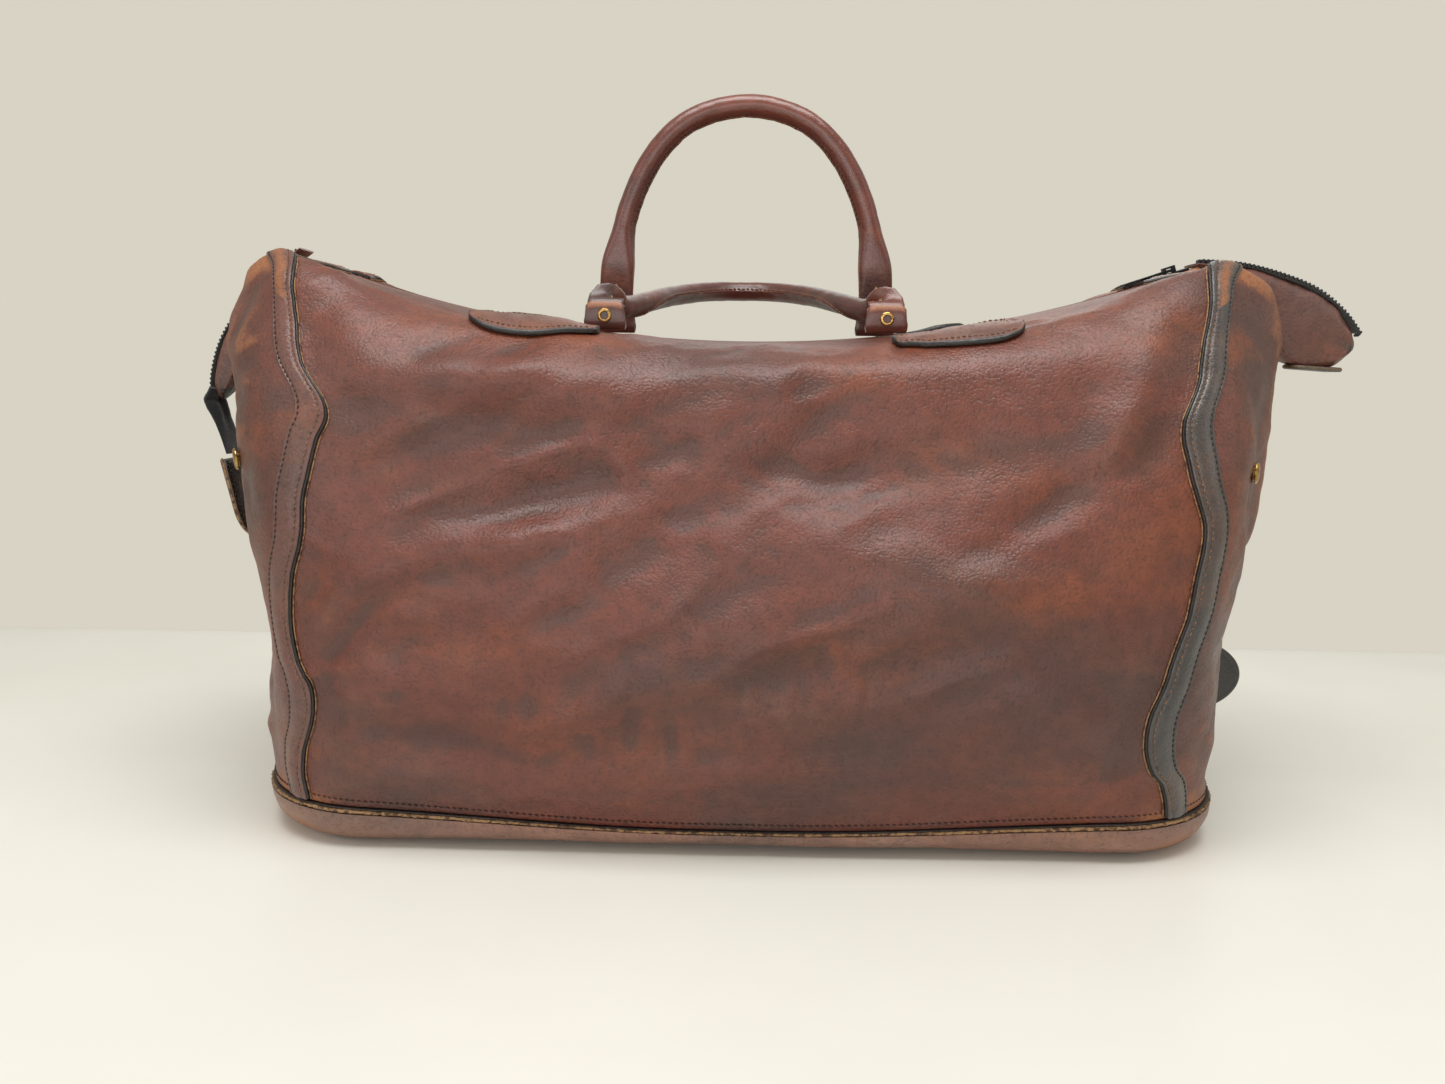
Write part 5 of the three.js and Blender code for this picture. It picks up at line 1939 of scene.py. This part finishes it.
@dataclass
class LeftCatch:
    """The cloth tail of the folded left end, its snap tab and the stud cap on it."""

    fold_x: float = -312.0
    fold_z: float = 201.0
    lean: float = 12.0
    tab_half: float = 19.0
    tab_length: float = 50.0
    stud_at: float = 32.0

    def tail(self) -> bpy.types.Object:
        """The black cloth tail: a bunched ribbon that narrows down to the tab."""
        path = np.array(
            [
                (-322.0, 0, 243.0), (-325.5, 0, 236.0), (-322.5, 0, 228.5), (-319.4, 0, 219.5),
                (-315.8, 0, 210.0), (-312.8, 0, 203.6)
            ]
        )
        place, _ = along_path(path, 0.7)
        line = read_line(path, place)
        t = np.linspace(0, 1, len(line))
        angle = np.linspace(0, 2 * np.pi, 34, endpoint=False)
        wide = through(t, ((0, 10.5), (0.25, 12.0), (0.5, 10.5), (0.8, 12.0), (1, 15.0)))
        thick = through(t, ((0, 3.2), (0.2, 4.2), (0.5, 2.8), (0.8, 1.5), (1, 1.1)))
        ahead = np.gradient(line, axis=0)
        ahead /= np.linalg.norm(ahead, axis=1, keepdims=True)
        aside = np.array([0.0, 1.0, 0.0])
        out = np.cross(aside, ahead)
        crumple = 1 + 0.3 * np.cos(angle * 6 + 1)[None] * bump(t, 0.3, 0.3)[:, None]
        crumple = crumple + 0.16 * Unevenness(47).layered(t[:, None] * 9, angle[None] * 1.5, 3)
        c, s = np.cos(angle)[None], np.sin(angle)[None]
        loops = line[:, None] + (wide[:, None] * c)[..., None] * aside + (
            thick[:, None] * s * crumple
        )[..., None] * out[:, None]
        obj = sweep("left_tail_cloth", loops, sharp=80)
        return finish_piece(obj, Finish.TAPE, "zip_tape", Body.LEFT_ZIP_END, ["left_tail"])

    def build(self) -> None:
        """Builds the tail, the tab and its cap."""
        self.tail()
        place = Matrix.Translation((self.fold_x, 0, self.fold_z)) @ Matrix.Rotation(
            math.pi / 2 - math.radians(self.lean), 4, "Y"
        )
        tab = slab("left_snap_tab_leather", tab_outline(self.tab_half, self.tab_length), 3.4, place, 0.0)
        finish_piece(tab, Finish.BLACK_LEATHER, "black_leather", Body.LEFT_TAB, ["left_snap_tab"])
        outline = tab_outline(self.tab_half + 0.05, self.tab_length + 0.05)[:-3]
        loops = []
        for turn in np.linspace(0, 2 * np.pi, 8, endpoint=False):
            grown = outline + (outline - outline.mean(axis=0)) / 24 * (0.25 + 0.28 * math.cos(turn))
            loops.append([place @ Vector((x, y, -1.7 + 0.75 * math.sin(turn))) for x, y in grown.tolist()])
        edge = sweep("left_snap_tab_raw_edge_0", np.array(loops).transpose(1, 0, 2), sharp=80)
        finish_piece(edge, Finish.RAW, "raw_edge", Body.LEFT_TAB)
        row = tab_outline(16.2, 46.6)
        seam = np.array([place @ Vector((x + 0.6, y, 0.02)) for x, y in row.tolist()])
        face = np.array(place.to_3x3() @ Vector((0, 0, 1)))
        thread = stitches("left_snap_tab_stitches", seam, np.broadcast_to(face, seam.shape), 3.0, 2.1, 0.36)
        finish_piece(thread, Finish.DARK_THREAD, "raw_edge", Body.LEFT_TAB)
        origin = np.array(place @ Vector((self.stud_at, 0, -3.8)))
        cap = turned("left_snap_cap_brass", scaled(STUD, 6.2, 3.0), origin, -face)
        finish_piece(cap, Finish.BRASS, "brass", Body.LEFT_TAB, ["left_snap_cap"])
        ring = turned(
            "left_snap_tab_rivet",
            scaled(SOCKET, 4.6, 0.9),
            np.array(place @ Vector((self.stud_at, 0, 0.0))),
            face,
        )
        finish_piece(ring, Finish.BRASS, "brass", Body.LEFT_TAB)


@dataclass
class RightCatch:
    """The small tab that is folded back under the right end."""

    lean: float = 0.06

    def build(self) -> None:
        """Builds the tab."""
        hinge_z = float(SKIN.zip_height(268.0)) + 1.8
        place = Matrix.Translation((354, 0, hinge_z - 59.6)) @ Matrix.Rotation(math.pi + self.lean, 4, "Y")
        place = place @ Matrix.Translation((0, 0, 2.6))
        tab = slab("right_snap_tab_leather", tab_outline(9, 30), 2.6, place)
        finish_piece(tab, Finish.BLACK_LEATHER, "black_leather", Body.RIGHT_TAB, ["right_snap_tab"])


@dataclass
class GussetFittings:
    """The studs, sockets and the D-shaped tab on the two ends."""

    level: float = 0.515
    tab_reach: float = 38.0
    tab_half: float = 24.0

    def build(self) -> None:
        """Builds every fitting."""
        spots = (
            ("left_gusset_stud_front", 3.2), ("left_gusset_stud_back", 2.8),
            ("right_gusset_stud_front", 0.8), ("right_gusset_stud_back", 1.2),
        )
        for name, around in spots:
            self.fitting(name, around, self.level, STUD, 6.0, 3.0)
        self.fitting("left_snap_socket", 3.0, 0.41, SOCKET, 6.0, 7.0)
        self.fitting("right_snap_socket", 1.0, 0.41, SOCKET, 6.0, 4.0)
        turn = np.linspace(-np.pi / 2, np.pi / 2, 40)
        lobe = np.concatenate(
            [
                np.stack([self.tab_reach * np.cos(turn), self.tab_half * np.sin(turn)], axis=1),
                [[0.0, 12.0], [0.0, 0.0], [0.0, -12.0]]
            ]
        )
        place = Matrix.Translation((272.5, -9, 75)) @ Matrix.Rotation(math.pi / 2, 4, "X")
        tab = slab("right_gusset_tab_leather", lobe, 5.0, place)
        finish_piece(tab, Finish.BLACK_LEATHER, "black_leather", nodes=["right_gusset_tab"])

    def fitting(
        self, name: str, around: float, up: float, profile: Pairs, radius: float, height: float
    ) -> None:
        """One brass fitting on the gusset.

        Args:
            name: the frame's node that it replaces.
            around: its place round the body.
            up: its level.
            profile: its lathe outline.
            radius: its radius.
            height: how far it stands out.
        """
        where, level = np.array([around]), np.array([up])
        origin = SKIN.off(where, level, 0.1)[0]
        obj = turned(
            f"{name}_brass", scaled(profile, radius, height), origin, SKIN.facing(SKIN.at, where, level)[0]
        )
        finish_piece(obj, Finish.BRASS, "brass", nodes=[name])


# ---- The setting ----
@dataclass
class Studio:
    """The pale counter, the soft lights and the camera."""

    where: tuple[float, float, float] = (-0.00106, -0.6635, 0.2568)
    pitch: float = 8.948
    yaw: float = 0.934
    roll: float = 0.817
    lens: float = 26.9
    room_light: float = 0.66

    def floor(self) -> None:
        """A pale stone counter that ends a little behind the bag."""
        turn = np.linspace(0, np.pi / 2, 7)
        nose = np.stack([355 + 12 * np.sin(turn), -12 + 12 * np.cos(turn)], axis=1)
        top = np.stack([np.linspace(-3000, 340, 24), np.zeros(24)], axis=1)
        section = np.concatenate([top, nose, [[367, -40], [-3000, -40]]])
        loops = np.stack(
            [
                np.concatenate(
                    [np.full((len(section), 1), x), section], axis=1
                ) for x in np.linspace(-3000, 3000, 41)
            ]
        )
        obj = sweep("counter", loops)
        material, w, shader, place = new_material("pale stone")
        haze = w.noise(place, 3.0, 4.0)
        w.link(
            w.mix(w.spread(haze, 0.3, 0.7), tone(236, 235, 228), tone(231, 230, 222)),
            shader.inputs["Base Color"]
        )
        smudge = SHELF.place(w, Effect.SMUDGE, {"Vector": place, "Low": 0.28, "High": 0.4})
        w.link(smudge.outputs[0], shader.inputs["Roughness"])
        obj.data.materials.append(material)

    def lamp(
        self, name: str, where: tuple[float, float, float], size: tuple[float, float], watts: float
    ) -> None:
        """One soft rectangular light aimed at the bag.

        Args:
            name: the light's name.
            where: its place, in metres.
            size: its two sides, in metres.
            watts: its power.
        """
        data = bpy.data.lights.new(name, "AREA")
        data.shape, data.size, data.size_y, data.energy = "RECTANGLE", size[0], size[1], watts
        lamp = bpy.data.objects.new(name, data)
        lamp.location = where
        lamp.rotation_euler = (Vector((0, 0, 0.16)) - Vector(where)).to_track_quat("-Z", "Y").to_euler()
        bpy.context.scene.collection.objects.link(lamp)

    def camera(self) -> None:
        """The camera, level with the front but for a small pitch, yaw and roll."""
        p, y, r = (math.radians(v) for v in (self.pitch, self.yaw, self.roll))
        ahead = Vector((-math.sin(y) * math.cos(p), math.cos(y) * math.cos(p), -math.sin(p)))
        right = Vector((math.cos(y), math.sin(y), 0.0))
        up = right.cross(ahead)
        across = right * math.cos(r) + up * math.sin(r)
        over = up * math.cos(r) - right * math.sin(r)
        data = bpy.data.cameras.new("camera")
        data.lens, data.sensor_width = self.lens, 36.0
        camera = bpy.data.objects.new("camera", data)
        turn = Matrix((across, over, -ahead)).transposed().to_4x4()
        camera.matrix_world = Matrix.Translation(self.where) @ turn
        data.clip_start, data.clip_end = 0.01, 60.0
        bpy.context.scene.collection.objects.link(camera)
        bpy.context.scene.camera = camera

    def build(self) -> None:
        """Builds the setting."""
        self.camera()
        self.floor()
        for name, where, size, watts in (
            ("ceiling panel", (0.0, -0.35, 1.35), (1.1, 0.6), 14.0),
            ("window side", (-1.4, -0.9, 0.9), (0.9, 0.7), 3.2),
            ("right strip", (1.25, -0.35, 0.75), (0.35, 0.9), 1.2),
            ("front fill", (-0.3, -1.7, 0.42), (1.6, 0.5), 7.0),
            ("back fill", (0.3, 1.5, 1.2), (1.4, 0.9), 4.0),
        ):
            self.lamp(name, where, size, watts)
        world = bpy.data.worlds.new("soft room")
        world.use_nodes = True
        background = next(n for n in world.node_tree.nodes if n.type == "BACKGROUND")
        background.inputs["Color"].default_value = tone(216, 211, 196)
        wiring = Wiring(world.node_tree)
        seen = wiring.add("ShaderNodeLightPath").outputs["Is Camera Ray"]
        strength = wiring.math("ADD", self.room_light, wiring.math("MULTIPLY", seen, 1.0 - self.room_light))
        world.node_tree.links.new(strength, background.inputs["Strength"])
        bpy.context.scene.world = world
        bpy.context.scene.view_settings.view_transform = "Standard"


def write_sizes() -> None:
    """Brings the scene's placements up to date."""
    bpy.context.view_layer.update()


def main() -> None:
    """Builds the bag and its setting in order."""
    logging.basicConfig(level=logging.INFO, format="%(name)s: %(message)s")
    Studio().build()
    Shell().build()
    for name, middle, side, finish, slot in (
        ("front_right_strip", 0.0, 1.0, Finish.DARK, "dark_strip_leather"),
        ("front_left_strip", 0.0, -1.0, Finish.STRIP, "strip_leather"),
        ("back_left_strip", 2.0, 1.0, Finish.STRIP, "strip_leather"),
        ("back_right_strip", 2.0, -1.0, Finish.STRIP, "strip_leather"),
    ):
        OverlayStrip(name, middle, side, finish, slot).build()
    Base().build()
    Zip().build()
    Handle(
        "front", 1.0, math.radians(88),
        (
            (79, 15, -0.5), (76, 25, -2.5), (69, 38, -1), (60, 56, 3), (46, 86, 9), (24, 112, 13.5),
            (0, 121, 14.5)
        ),
        Body.FRONT_HANDLE,
    ).build()
    Handle(
        "rear", -1.0, 0.0, (
            (80, 0, 26), (75, 0, 58), (59, 0, 92), (36, 0, 114), (0, 0, 123)
        ), Body.REAR_HANDLE, flat=36.0
    ).build()
    level_under = ((-4, -1.6), (6, -4), (18, -26), (38, -48), (58, -58), (80, -61), (93, -54))
    ZipEnd("right", 1.0, 0.0, Body.RIGHT_ZIP_END, 0.3, level_under).build()
    dropped_under = ((-4, -1.6), (8, -2.6), (20, -12), (44, -26), (66, -36), (87, -44))
    ZipEnd("left", -1.0, 35.0, Body.LEFT_ZIP_END, 0.5, dropped_under).build()
    LeftCatch().build()
    RightCatch().build()
    GussetFittings().build()
    write_sizes()


if __name__ == "__main__":
    main()
